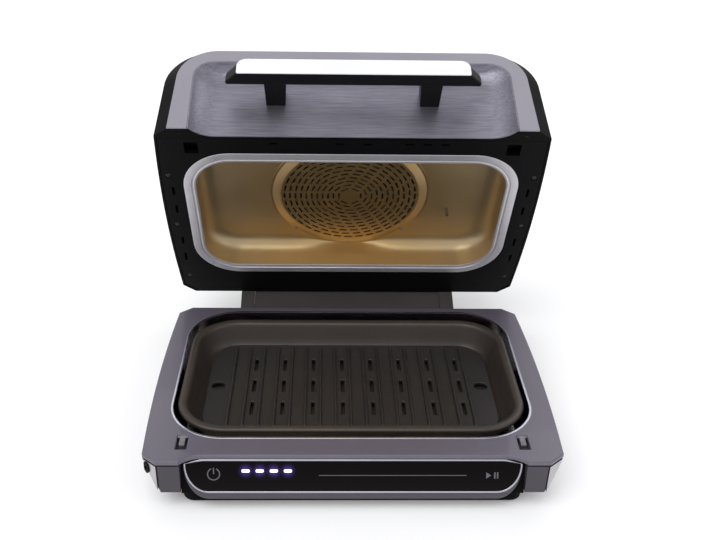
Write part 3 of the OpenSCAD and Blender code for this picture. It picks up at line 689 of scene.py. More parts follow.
class Graph:
    """Nodes of one material."""

    def __init__(self, name: str) -> None:
        """Starts an empty material.

        Args:
            name: Name of the material.
        """
        self.material = bpy.data.materials.new(name)
        self.material.use_nodes = True
        self.tree = self.material.node_tree
        self.tree.nodes.clear()

    def add(self, kind: str, settings: dict[str, Any], inputs: dict[Any, Any], out: int | str = 0) -> Term:
        """Adds any node.

        Args:
            kind: Type of the node.
            settings: Its own settings, which are set first.
            inputs: Values or links of its sockets, by name or index.
            out: Output to return.

        Returns:
            The output.
        """
        node = self.tree.nodes.new(kind)
        for key, value in settings.items():
            setattr(node, key, value)
        for key, value in inputs.items():
            if isinstance(value, Term):
                self.tree.links.new(value.socket, node.inputs[key])
            else:
                node.inputs[key].default_value = value
        return Term(self, node.outputs[out]) if node.outputs else Term(self, None)

    def coords(self, stretch: Vec3 = (1.0, 1.0, 1.0)) -> Term:
        """Object coordinates, scaled along each axis."""
        here = self.add("ShaderNodeTexCoord", {}, {}, "Object")
        return self.add("ShaderNodeMapping", {"vector_type": "POINT"}, {"Vector": here, "Scale": stretch})

    def noise(self, scale: float, detail: float = 2.0, stretch: Vec3 = (1.0, 1.0, 1.0)) -> Term:
        """Noise between 0 and 1, with its scale per metre."""
        return self.add("ShaderNodeTexNoise", {}, {"Vector": self.coords(stretch), "Scale": scale,
                                                   "Detail": detail, "Roughness": 0.55})

    def fade(self, value: Term, low: float, high: float) -> Term:
        """Value taken from a range to 0 and 1, and held there."""
        return self.add("ShaderNodeMapRange", {"clamp": True}, {"Value": value, "From Min": low, "From Max": high})

    def mix(self, share: "Term | float", a: "Term | Rgb", b: "Term | Rgb") -> Term:
        """Colour between two colours."""
        ends = [v if isinstance(v, Term) else (*v, 1.0) for v in (a, b)]
        return self.add("ShaderNodeMix", {"data_type": "RGBA"}, {0: share, 6: ends[0], 7: ends[1]}, 2)

    def bump(self, height: Term, depth: float) -> Term:
        """Normal bent by a height between 0 and 1, with its depth in millimetres."""
        return self.add("ShaderNodeBump", {}, {"Height": height, "Distance": depth / 1000.0, "Strength": 1.0})

    def away(self, point: Vector) -> Term:
        """Distance from a point in the row frame, in metres."""
        return self.add("ShaderNodeVectorMath", {"operation": "DISTANCE"}, {0: self.coords(), 1: point}, "Value")

    def shader(self, inputs: dict[str, Any]) -> bpy.types.Material:
        """Ends the material in one principled shader.

        Args:
            inputs: Values or links of the shader's sockets.

        Returns:
            The material.
        """
        shader = self.add("ShaderNodeBsdfPrincipled", {}, inputs)
        self.add("ShaderNodeOutputMaterial", {}, {"Surface": shader})
        return self.material


def srgb(red: int, green: int, blue: int) -> Rgb:
    """Linear colour of a colour written in display values from 0 to 255."""
    parts = [v / 255.0 for v in (red, green, blue)]
    return tuple(p / 12.92 if p <= 0.04045 else ((p + 0.055) / 1.055) ** 2.4 for p in parts)


@dataclass(frozen=True)
class Lights:
    """Row of level lights on the control panel, in millimetres in the panel's frame."""

    first_x: float = -115.0
    height: float = -13.0
    pitch: float = 15.0
    count: int = 4
    glass_w: float = -0.2


LIGHTS = Lights()


@dataclass(frozen=True)
class Surface:
    """Finish whose colour, gloss and relief vary over the piece.

    Attributes:
        name: Name of the material.
        color: Main colour.
        shade: Second colour, in soft patches.
        rough: Lowest and highest roughness.
        metallic: 1 for bare metal.
        patch: Scale of the patches per metre.
        grain: Scale of the relief per metre.
        depth: Depth of the relief in millimetres.
        stretch: Scale of the grain along each axis; a small number draws it out.
        fleck: Share of the surface that bright flecks cover.
        coat: Weight of a clear coat.
        specular: Strength of the reflection at the surface.
    """

    name: str
    color: Rgb
    shade: Rgb
    rough: Point2
    metallic: float = 0.0
    patch: float = 16.0
    grain: float = 1400.0
    depth: float = 0.02
    stretch: Vec3 = (1.0, 1.0, 1.0)
    fleck: float = 0.0
    coat: float = 0.0
    specular: float = 0.5

    def tint(self, graph: Graph, grain: Term) -> Term:
        """Base colour: soft patches, drawn through by the grain.

        Args:
            graph: The material's nodes.
            grain: Height of the relief.

        Returns:
            The colour.
        """
        share = graph.fade(graph.noise(self.patch, 3.0) * 0.65 + grain * 0.35, 0.3, 0.7)
        color = graph.mix(share, self.color, self.shade)
        if self.fleck:
            spots = graph.noise(self.grain * 1.7, 0.0) > 1.0 - self.fleck
            color = graph.mix(spots * 0.6, color, tuple(min(1.0, c * 1.8 + 0.06) for c in self.color))
        return color

    def relief(self, graph: Graph) -> Term:
        """Height of the grain, from 0 to 1."""
        return graph.noise(self.grain, 3.0, self.stretch)

    def lit(self, graph: Graph) -> dict[str, Any]:
        """Inputs for the light that the surface gives off."""
        return {}

    def make(self) -> bpy.types.Material:
        """Builds the material.

        Returns:
            The material.
        """
        graph = Graph(self.name + "_finish")
        grain = self.relief(graph)
        smear = graph.fade(graph.noise(self.patch * 2.3, 4.0), 0.25, 0.75) * 0.6 + grain * 0.4
        return graph.shader({
            "Base Color": self.tint(graph, grain),
            "Roughness": smear * (self.rough[1] - self.rough[0]) + self.rough[0],
            "Metallic": self.metallic,
            "Coat Weight": self.coat,
            "Coat Roughness": 0.06,
            "Specular IOR Level": self.specular,
            "Normal": graph.bump(grain, self.depth),
            **self.lit(graph),
        })

    def dress(self, obj: bpy.types.Object) -> None:
        """Gives an object this finish.

        Args:
            obj: Mesh object to dress.
        """
        material = bpy.data.materials.get(self.name + "_finish") or self.make()
        if not obj.data.materials:
            obj.data.materials.append(material)
        for k in range(len(obj.data.materials)):
            obj.data.materials[k] = material


@dataclass(frozen=True)
class GlowPaintedSteel(Surface):
    """Steel with the heater's golden glow painted into its colour: painted light, strongest round the heater.

    Attributes:
        painted_glow: Colour of the painted glow light where it is brightest.
        reach: Distances in metres between which the painted glow fades out.
        glow_heart: Height of the painted glow's brightest point on the fan's axis, in millimetres.
    """

    painted_glow: Rgb = (0.62, 0.40, 0.15)
    reach: Point2 = (0.08, 0.26)
    glow_heart: float = 90.0

    def tint(self, graph: Graph, grain: Term) -> Term:
        """Base colour: painted glow light near the heater's axis, plain steel further out.

        Args:
            graph: The material's nodes.
            grain: Height of the relief.

        Returns:
            The colour.
        """
        # Painted light: the heater's golden glow is mixed into the colour, fading with the distance from a point on the
        # fan's axis.
        away = graph.away(Place.FAN.matrix() @ Vector((0.0, 0.0, self.glow_heart)))
        glow_share = 1 - graph.fade(away + graph.noise(22.0, 3.0) * 0.05, *self.reach)
        return graph.mix(glow_share * 0.85, super().tint(graph, grain), self.painted_glow)


@dataclass(frozen=True)
class Brushed(Surface):
    """Steel with long brushed streaks."""

    def tint(self, graph: Graph, grain: Term) -> Term:
        """Base colour: streaks of two lengths over soft patches.

        Args:
            graph: The material's nodes.
            grain: Height of the relief.

        Returns:
            The colour.
        """
        fine = graph.noise(self.grain * 2.2, 2.0, self.stretch)
        share = graph.noise(self.patch, 2.0) * 0.3 + grain * 0.4 + fine * 0.3
        return graph.mix(graph.fade(share, 0.34, 0.66), self.color, self.shade)


@dataclass(frozen=True)
class Lamp(Surface):
    """Lit window whose colour varies in fine noise."""

    power: float = 1.0

    def make(self) -> bpy.types.Material:
        """Builds the material.

        Returns:
            The material.
        """
        graph = Graph(self.name + "_finish")
        glow = graph.mix(graph.noise(260.0, 1.0), self.color, self.shade)
        return graph.shader({"Base Color": glow, "Roughness": self.rough[0], "Emission Color": glow,
                             "Emission Strength": self.power})


@dataclass(frozen=True)
class GlowGlass(Surface):
    """Dark glass with a violet glow round each light.

    Attributes:
        glow: Colour of the glow.
        power: Strength of the glow.
        reach: Distances in metres between which the glow fades out.
    """

    glow: Rgb = (0.16, 0.10, 0.62)
    power: float = 0.40
    reach: Point2 = (0.002, 0.010)

    def lit(self, graph: Graph) -> dict[str, Any]:
        """Inputs for the glow, which fades with the distance from the lights.

        Args:
            graph: The material's nodes.

        Returns:
            Values and links of the shader's sockets.
        """
        total = None
        for k in range(LIGHTS.count):
            middle = Vector((LIGHTS.first_x + k * LIGHTS.pitch, LIGHTS.height, LIGHTS.glass_w))
            near = 1 - graph.fade(graph.away(Place.PANEL.matrix() @ middle), *self.reach)
            total = near * near if total is None else total + near * near
        return {"Emission Color": graph.mix(total, (0.0, 0.0, 0.0), self.glow), "Emission Strength": self.power}


@dataclass(frozen=True)
class CircuitBoard(Surface):
    """Lacquered board with printed tracks."""

    def tint(self, graph: Graph, grain: Term) -> Term:
        """Base colour: green lacquer over lighter tracks.

        Args:
            graph: The material's nodes.
            grain: Height of the relief; not used.

        Returns:
            The colour.
        """
        track = graph.add("ShaderNodeTexBrick", {"offset": 0.5}, {
            "Vector": graph.coords(), "Scale": 60.0, "Mortar Size": 0.03, "Color1": (*self.color, 1.0),
            "Color2": (*self.color, 1.0), "Mortar": (*self.shade, 1.0)}, "Color")
        return graph.mix(graph.noise(30.0) * 0.4, track, self.color)


class Finishes:
    """Every finish on the grill."""

    deck = Surface("deck_paint", srgb(105, 100, 113), srgb(99, 94, 107), rough=(0.36, 0.46), metallic=0.25, patch=7.0,
                   grain=2600.0, depth=0.006, fleck=0.30, coat=0.15)
    trim = Surface("bright_trim", srgb(194, 194, 204), srgb(176, 176, 188), rough=(0.14, 0.26), metallic=1.0,
                   patch=24.0, grain=700.0, depth=0.002)
    ring = Surface("satin_trim", srgb(222, 220, 224), srgb(206, 204, 208), rough=(0.24, 0.36), metallic=0.7,
                   patch=18.0, grain=1500.0, depth=0.004)
    cap = Surface("handle_cap", srgb(252, 252, 254), srgb(246, 246, 249), rough=(0.20, 0.30), metallic=0.2, patch=14.0,
                  grain=1100.0, depth=0.003)
    well = Surface("well_steel", srgb(178, 174, 170), srgb(150, 146, 142), rough=(0.18, 0.34), metallic=1.0,
                   patch=14.0, grain=900.0, depth=0.004)
    housing = Surface("housing_plastic", srgb(74, 68, 77), srgb(65, 60, 68), rough=(0.42, 0.55), metallic=0.1,
                      patch=12.0, grain=1900.0, depth=0.02)
    side = Surface("side_steel", srgb(196, 194, 196), srgb(176, 174, 178), rough=(0.26, 0.40), metallic=0.95,
                   patch=10.0, grain=1000.0, depth=0.006, stretch=(1.0, 0.03, 1.0))
    bezel = Surface("bezel_plastic", srgb(78, 74, 81), srgb(69, 65, 72), rough=(0.30, 0.42), metallic=0.2, patch=12.0,
                    grain=2100.0, depth=0.01, coat=0.2)
    black = Surface("black_plastic", srgb(12, 12, 14), srgb(8, 8, 10), rough=(0.46, 0.60), patch=16.0, grain=1500.0,
                    depth=0.03, specular=0.07)
    glass = GlowGlass("panel_glass", srgb(9, 5, 6), srgb(6, 4, 4), rough=(0.05, 0.10), patch=9.0, grain=300.0,
                      depth=0.0005, specular=0.10)
    light = Lamp("light_violet", srgb(236, 224, 255), srgb(255, 255, 255), rough=(0.3, 0.4))
    marks = Surface("mark_print", srgb(100, 98, 104), srgb(88, 86, 92), rough=(0.45, 0.6), patch=60.0, grain=3000.0,
                    depth=0.004)
    board = CircuitBoard("board_green", srgb(38, 92, 56), srgb(92, 140, 84), rough=(0.30, 0.42), patch=30.0,
                         grain=900.0, depth=0.01)
    rubber = Surface("foot_rubber", srgb(34, 34, 35), srgb(26, 26, 27), rough=(0.70, 0.85), patch=30.0, grain=1700.0,
                     depth=0.05)
    screw = Surface("screw_steel", srgb(136, 135, 140), srgb(112, 111, 116), rough=(0.25, 0.42), metallic=1.0,
                    patch=60.0, grain=2500.0, depth=0.006)
    dark_screw = Surface("dark_screw", srgb(70, 69, 72), srgb(52, 51, 54), rough=(0.30, 0.45), metallic=0.8,
                         patch=60.0, grain=2500.0, depth=0.006)
    hinge = Surface("hinge_paint", srgb(76, 72, 70), srgb(67, 64, 62), rough=(0.38, 0.50), metallic=0.1, patch=14.0,
                    grain=1800.0, depth=0.02)
    gland = Surface("gland_rubber", srgb(28, 28, 30), srgb(36, 36, 38), rough=(0.6, 0.75), patch=40.0, grain=1600.0,
                    depth=0.04)
    tongue = Surface("tongue_plastic", srgb(132, 127, 134), srgb(118, 113, 120), rough=(0.36, 0.5), metallic=0.1,
                     patch=40.0, grain=2200.0, depth=0.01)
    pot = Surface("pot_nonstick", srgb(76, 68, 62), srgb(62, 56, 51), rough=(0.30, 0.46), metallic=0.35, patch=9.0,
                  grain=1500.0, depth=0.02, fleck=0.26)
    plate = Surface("plate_nonstick", srgb(54, 52, 52), srgb(42, 41, 42), rough=(0.32, 0.5), metallic=0.3, patch=12.0,
                    grain=1300.0, depth=0.03, fleck=0.26)
    shell = Surface("shell_plastic", srgb(9, 9, 10), srgb(6, 6, 7), rough=(0.42, 0.54), patch=8.0, grain=1700.0,
                    depth=0.02, specular=0.07)
    border = Surface("border_paint", srgb(154, 151, 161), srgb(144, 141, 151), rough=(0.32, 0.44), metallic=0.3,
                     patch=9.0, grain=2300.0, depth=0.006)
    steel = Brushed("face_steel", srgb(160, 157, 170), srgb(116, 114, 125), rough=(0.36, 0.48), metallic=0.9,
                    patch=6.0, grain=480.0, depth=0.010, stretch=(0.05, 1.0, 1.0), specular=0.3)
    # Painted light: the heater's golden glow is painted into the liner, guard and heater tube, and also tints the
    # liner's and guard's base colours.
    liner = GlowPaintedSteel("liner_steel", srgb(196, 180, 150), srgb(176, 160, 132), rough=(0.36, 0.50), metallic=0.95,
                        patch=12.0, grain=800.0, depth=0.006)
    guard = GlowPaintedSteel("guard_steel", srgb(198, 180, 148), srgb(166, 148, 118), rough=(0.26, 0.40), metallic=0.95,
                        patch=20.0, grain=1300.0, depth=0.006)
    heater = GlowPaintedSteel("heater_tube", srgb(92, 78, 70), srgb(64, 56, 52), rough=(0.40, 0.60), metallic=0.6,
                         patch=40.0, grain=2000.0, depth=0.02, painted_glow=(0.20, 0.12, 0.08))
    sheet = Surface("sheet_steel", srgb(168, 167, 166), srgb(148, 147, 147), rough=(0.28, 0.44), metallic=1.0,
                    patch=14.0, grain=900.0, depth=0.006)
    motor = Surface("motor_iron", srgb(66, 68, 72), srgb(52, 54, 58), rough=(0.42, 0.58), metallic=0.6, patch=24.0,
                    grain=1500.0, depth=0.03)
    handle = Surface("handle_plastic", srgb(16, 15, 17), srgb(12, 11, 13), rough=(0.28, 0.40), patch=12.0,
                     grain=1900.0, depth=0.012, specular=0.16)


# ---------------------------------------------------------------------------
# Pieces that repeat
# ---------------------------------------------------------------------------


class Spread(Enum):
    """Ways to lay out copies of a shape."""

    LINE = "line"
    RING = "ring"
    POINTS = "points"


class Repeater:
    """Geometry Nodes tree that repeats a shape, with named inputs for its sizes."""

    INPUTS = {"Geometry": "Geometry", "Shape": "Object", "Finish": "Material", "Count": "Int", "Start": "Vector",
              "Step": "Vector", "Radius": "Float", "Turn": "Float"}

    def __init__(self, spread: Spread) -> None:
        """Builds the tree.

        Args:
            spread: How the copies are laid out.
        """
        self.tree = bpy.data.node_groups.new("repeat_" + spread.value, "GeometryNodeTree")
        for name, kind in self.INPUTS.items():
            self.tree.interface.new_socket(name, in_out="INPUT", socket_type="NodeSocket" + kind)
        self.tree.interface.new_socket("Geometry", in_out="OUTPUT", socket_type="NodeSocketGeometry")
        self.given = self.tree.nodes.new("NodeGroupInput").outputs
        turn = None
        if spread is Spread.POINTS:
            points = self.given["Geometry"]
        elif spread is Spread.LINE:
            points = self._add("GeometryNodeMeshLine", Count=self.given["Count"], Offset=self.given["Step"],
                               **{"Start Location": self.given["Start"]})
        else:
            points, turn = self._ring()
        shape = self._add("GeometryNodeObjectInfo", Object=self.given["Shape"]).node.outputs["Geometry"]
        placed = self._add("GeometryNodeInstanceOnPoints", Points=points, Instance=shape)
        if turn is not None:
            self.tree.links.new(turn, placed.node.inputs["Rotation"])
        whole = self._add("GeometryNodeRealizeInstances", Geometry=placed)
        dressed = self._add("GeometryNodeSetMaterial", Geometry=whole, Material=self.given["Finish"])
        self.tree.links.new(dressed, self.tree.nodes.new("NodeGroupOutput").inputs["Geometry"])
        self.names = {item.name: item.identifier for item in self.tree.interface.items_tree
                      if item.item_type == "SOCKET" and item.in_out == "INPUT"}

    def _add(self, kind: str, settings: dict[str, Any] | None = None, **sockets: Any) -> bpy.types.NodeSocket:
        """Adds a node and links or sets its sockets.

        Args:
            kind: Type of the node.
            settings: Its own settings.
            **sockets: Values or links by socket name, or by index after an underscore.

        Returns:
            The node's first output.
        """
        node = self.tree.nodes.new(kind)
        for key, value in (settings or {}).items():
            setattr(node, key, value)
        for key, value in sockets.items():
            socket = node.inputs[int(key[1:]) if key[0] == "_" else key]
            if isinstance(value, bpy.types.NodeSocket):
                self.tree.links.new(value, socket)
            else:
                socket.default_value = value
        return node.outputs[0]

    def _ring(self) -> tuple[bpy.types.NodeSocket, bpy.types.NodeSocket]:
        """Lays points round a circle.

        Returns:
            The points, and the turn of each.
        """
        points = self._add("GeometryNodeMeshLine", Count=self.given["Count"])
        share = self._add("ShaderNodeMath", {"operation": "DIVIDE"}, _0=self._add("GeometryNodeInputIndex"),
                          _1=self.given["Count"])
        angle = self._add("ShaderNodeMath", {"operation": "MULTIPLY_ADD"}, _0=share, _1=math.tau,
                          _2=self.given["Turn"])
        across = [self._add("ShaderNodeMath", {"operation": "MULTIPLY"}, _1=self.given["Radius"],
                            _0=self._add("ShaderNodeMath", {"operation": kind}, _0=angle))
                  for kind in ("COSINE", "SINE")]
        place = self._add("ShaderNodeCombineXYZ", X=across[0], Y=across[1])
        place = self._add("ShaderNodeVectorMath", {"operation": "ADD"}, _0=place, _1=self.given["Start"])
        moved = self._add("GeometryNodeSetPosition", Geometry=points, Position=place)
        euler = self._add("ShaderNodeCombineXYZ", Z=angle)
        return moved, self._add("FunctionNodeEulerToRotation", Euler=euler)

    def make(self, name: str, shape: bpy.types.Object, finish: Surface, place: Place,
             points: Sequence[Sequence[float]] = (), **sizes: Any) -> bpy.types.Object:
        """Repeats a shape and turns the result into one plain mesh in the row frame.

        Args:
            name: Name of the object.
            shape: Shape drawn round its own origin in millimetres; it is removed afterwards.
            finish: Finish of the copies.
            place: Frame that the sizes are given in.
            points: Places of the copies, for a tree that takes points.
            **sizes: The tree's named inputs.

        Returns:
            The finished object.
        """
        data = bpy.data.meshes.new(name)
        data.from_pydata([tuple(p) for p in points], [], [])
        obj = add_object(name, data)
        finish.dress(shape)
        step = obj.modifiers.new("repeat", "NODES")
        step.node_group = self.tree
        for key, value in {"Shape": shape, "Finish": shape.data.materials[0], **sizes}.items():
            step[self.names[key]] = value
        Workshop.apply(obj)
        obj.data.transform(place.matrix())
        bpy.data.objects.remove(shape)
        Workshop.shade(obj)
        return obj


LINE = Repeater(Spread.LINE)
RING = Repeater(Spread.RING)
POINTS = Repeater(Spread.POINTS)


# ---------------------------------------------------------------------------
# Body
# ---------------------------------------------------------------------------


def corners(x: float, y: float, z: float) -> list[Vec3]:
    """Four places at the corners of a rectangle."""
    return [(sx * x, sy * y, z) for sx in (-1, 1) for sy in (-1, 1)]


def screw_head(radius: float = 3.4, height: float = 2.0) -> bpy.types.Object:
    """Domed screw head with a crossed recess, its face below the origin.

    Args:
        radius: Radius of the head.
        height: Height of the head.

    Returns:
        The shape, in millimetres.
    """
    r, h = radius, height
    head = Solid(Place.BENCH).turned([(0.0, 0.0), (r, 0.0), (r, -0.45 * h), (0.86 * r, -0.8 * h), (0.5 * r, -h),
                                      (0.0, -h)], 20).build("screw_head")
    a, b = 0.62 * r, 0.38
    loop = [(a, -b), (a, b), (b, b), (b, a), (-b, a), (-b, b), (-a, b), (-a, -b), (-b, -b), (-b, -a), (b, -a), (b, -b)]
    Workshop.cut(head, [Solid(Place.BENCH).cutter(loop, -h - 0.5, -0.5 * h)], smooth=30.0)
    return head


@dataclass
class Deck:
    """Top of the body with its opening, trim, well and latch tongues.

    Attributes:
        deck_z: Height of the deck's underside.
        opening: Half the width, half the depth and corner radius of the opening.
        opening_y: Middle of the opening, front to back.
        latch: Place of the right latch slot.
        latch_size: Half the width and half the depth of a latch slot.
        sleeve_t: Thickness of the sleeve below each slot.
        sleeve_top: Depth of the sleeve's top below the deck's top.
        sleeve_foot: Depth of the sleeve's foot below the deck's underside.
        boss_r: Inner and outer radius of the screw bosses.
        boss_foot: Height of the bosses' feet.
        floor_z: Height of the well's underside.
        knee_z: Height where the well's wall turns inwards.
        draw: How far the well's floor lies inside its wall.
        pad: Place of the pads that carry the pot, from the middle of the opening.
        pad_r: Radius of the pads.
        tongue_size: Half the width and half the depth of a latch tongue.
        tongue_ribs: Grip ribs on a tongue.
        rib_pitch: Distance from one rib to the next.
        pivot_r: Radius of a tongue's pivot.
        pivot_hl: Half the length of the pivot.
    """

    deck_z: float = 56.5
    opening: Vec3 = (205.0, 135.0, 63.0)
    opening_y: float = 14.0
    latch: Point2 = (185.0, -128.0)
    latch_size: Point2 = (6.0, 12.0)
    sleeve_t: float = 1.15
    sleeve_top: float = 5.2
    sleeve_foot: float = 6.0
    boss_r: Point2 = (1.7, 4.5)
    boss_foot: float = 22.6
    floor_z: float = 23.5
    knee_z: float = 42.5
    draw: float = 12.0
    pad: Point2 = (141.0, 70.0)
    pad_r: float = 8.0
    tongue_size: Point2 = (3.0, 8.0)
    tongue_ribs: int = 4
    rib_pitch: float = 1.6
    pivot_r: float = 1.2
    pivot_hl: float = 5.65

    def hole(self, inset: float, steps: int = 20) -> Loop:
        """Outline of the opening, moved inwards."""
        hw, hd, r = self.opening
        return Outline.rounded_rect(hw - inset, hd - inset, r - inset, (0.0, self.opening_y), steps)

    def slot(self, side: int, grow: float = 0.0) -> Loop:
        """Outline of one latch slot."""
        w, d = self.latch_size
        return Outline.rounded_rect(w + grow, d + grow, 1.0 + grow, (side * self.latch[0], self.latch[1]), 4)

    def build(self) -> None:
        """Builds the deck, its trim, the well and the tongues."""
        top = SIZES.deck_h
        deck = Solid(Place.BODY)
        deck.prism(Outline.deck(), self.deck_z, top, [self.hole(0.0)] + [self.slot(s) for s in (1, -1)], edge=1.1,
                   low_edge=0.3)
        high, low, (bore, boss) = top - self.sleeve_top, self.deck_z - self.sleeve_foot, self.boss_r
        for s in (1, -1):
            deck.bowl([(0.0, high), (0.0, low), (-self.sleeve_t, low), (-self.sleeve_t, high)],
                      lambda inset, s=s: self.slot(s, -inset), closed=True)
            deck.prism(self.slot(s, 1.1), low - 1.2, low + 0.1, edge=0.2)
        for x, y, z in corners(*SIZES.deck_screw, self.boss_foot):
            deck.turned([(bore, z), (boss, z), (boss, self.deck_z + 0.2), (bore, self.deck_z + 0.2)], 20, (x, y))
        Workshop.place(deck.build("deck_plate", Finishes.deck), "base", "deck_paint", "deck")
        trim = Solid(Place.BODY).bowl(
            [(-1.4, top), (-1.4, top + 0.3), (-1.15, top + 0.52), (-0.8, top + 0.6), (1.1, top + 0.6),
             (1.4, top + 0.5), (1.5, top + 0.2), (1.5, top - 12.0), (0.3, top - 12.0), (0.3, top)],
            self.hole, closed=True)
        Workshop.place(trim.build("opening_ring", Finishes.trim), "base", "bright_trim", "opening_trim")
        z, k = self.floor_z, self.knee_z
        well = Solid(Place.BODY).bowl(
            [(self.draw + 2.0, z), (self.draw - 1.0, z + 0.4), (-0.3, k - 1.5), (-1.0, k + 0.6), (-1.0, 55.5),
             (-2.0, 55.5), (-2.0, 56.45), (-0.3, 56.45), (0.0, 56.2), (0.0, k + 0.6), (0.7, k - 1.5),
             (self.draw - 1.2, z + 2.3), (self.draw, z + 1.3), (self.draw + 2.0, z + 1.0)], self.hole)
        for x, y, _ in corners(*self.pad, 0.0):
            well.turned([(0.0, z + 0.9), (self.pad_r, z + 0.9), (self.pad_r, z + 2.1), (self.pad_r - 0.5, z + 2.5),
                         (0.0, z + 2.5)], 28, (x, y + self.opening_y))
        Workshop.place(well.build("pot_well_pan", Finishes.well), "base", "well_steel", "pot_well")
        for name, s in (("left", -1), ("right", 1)):
            Workshop.place(self.tongue(s), "tongue_" + name, "tongue_plastic", "tongue_" + name)

    def tongue(self, s: int) -> bpy.types.Object:
        """Builds one latch tongue with its grip ribs and pivot.

        Args:
            s: -1 for the left tongue, 1 for the right one.

        Returns:
            The piece.
        """
        x, y, z = s * self.latch[0], self.latch[1] + 10.0, SIZES.deck_h - 1.25
        body = Solid(Place.BODY).prism(Outline.rounded_rect(*self.tongue_size, 0.7, (x, y - 6.3), 4), z - 1.25,
                                       z + 1.0, edge=0.4)
        for k in range(self.tongue_ribs):
            rib = Outline.rounded_rect(2.3, 0.35, 0.3, (x, y - 12.8 + self.rib_pitch * k), 3)
            body.prism(rib, z + 0.9, z + 1.24, edge=0.15)
        body.prism(Outline.circle(self.pivot_r, (y, z), 14), x - self.pivot_hl, x + self.pivot_hl, edge=0.2,
                   axis=Axis.X)
        return body.build("latch_tongue_" + ("left" if s < 0 else "right"), Finishes.tongue)


@dataclass
class Housing:
    """Sides, base, feet and rear of the body, from refined CAD shapes.

    Attributes:
        foot: Place of the right rear foot.
        foot_r: Radius of the feet.
        foot_h: Height of the feet.
        deck_head_z: Height of the deck screws' heads.
        base_head_z: Height of the base screws' heads.
    """

    foot: Point2 = (155.0, 134.0)
    foot_r: float = 12.0
    foot_h: float = 3.0
    deck_head_z: float = 20.0
    base_head_z: float = 16.0

    def build(self) -> None:
        """Builds the housing's pieces."""
        for node, finish, slot, radius in (
                ("lower_housing", Finishes.housing, "housing_plastic", 0.6),
                ("side_panel_left", Finishes.side, "side_steel", 0.35),
                ("side_panel_right", Finishes.side, "side_steel", 0.35),
                ("bottom_cover", Finishes.black, "black_plastic", 0.8),
                ("probe_port", Finishes.black, "black_plastic", 0.6),
                ("cord_gland", Finishes.gland, "gland_rubber", 0.5),
                ("hinge_knuckles", Finishes.hinge, "hinge_paint", 0.9)):
            Workshop.place(Workshop.refine(node, finish, radius), "base", slot, node)
        r, h = self.foot_r, self.foot_h
        foot = Solid(Place.BENCH).turned([(0.0, 0.25), (r - 4.5, 0.25), (r - 4.0, 0.0), (r - 1.3, 0.0), (r - 0.5, 0.3),
                                          (r, 1.1), (r, h), (0.0, h)], 36).build("foot")
        feet = POINTS.make("rubber_feet", foot, Finishes.rubber, Place.BODY, corners(*self.foot, 0.0))
        Workshop.place(feet, "base", "foot_rubber", "feet")
        for name, node, places in (
                ("deck_screws", "body_screws", corners(*SIZES.deck_screw, self.deck_head_z)),
                ("base_screws", "cover_screws", corners(*SIZES.base_screw, self.base_head_z))):
            screws = POINTS.make(name, screw_head(), Finishes.screw, Place.BODY, places)
            Workshop.place(screws, "base", "screw_steel", node)


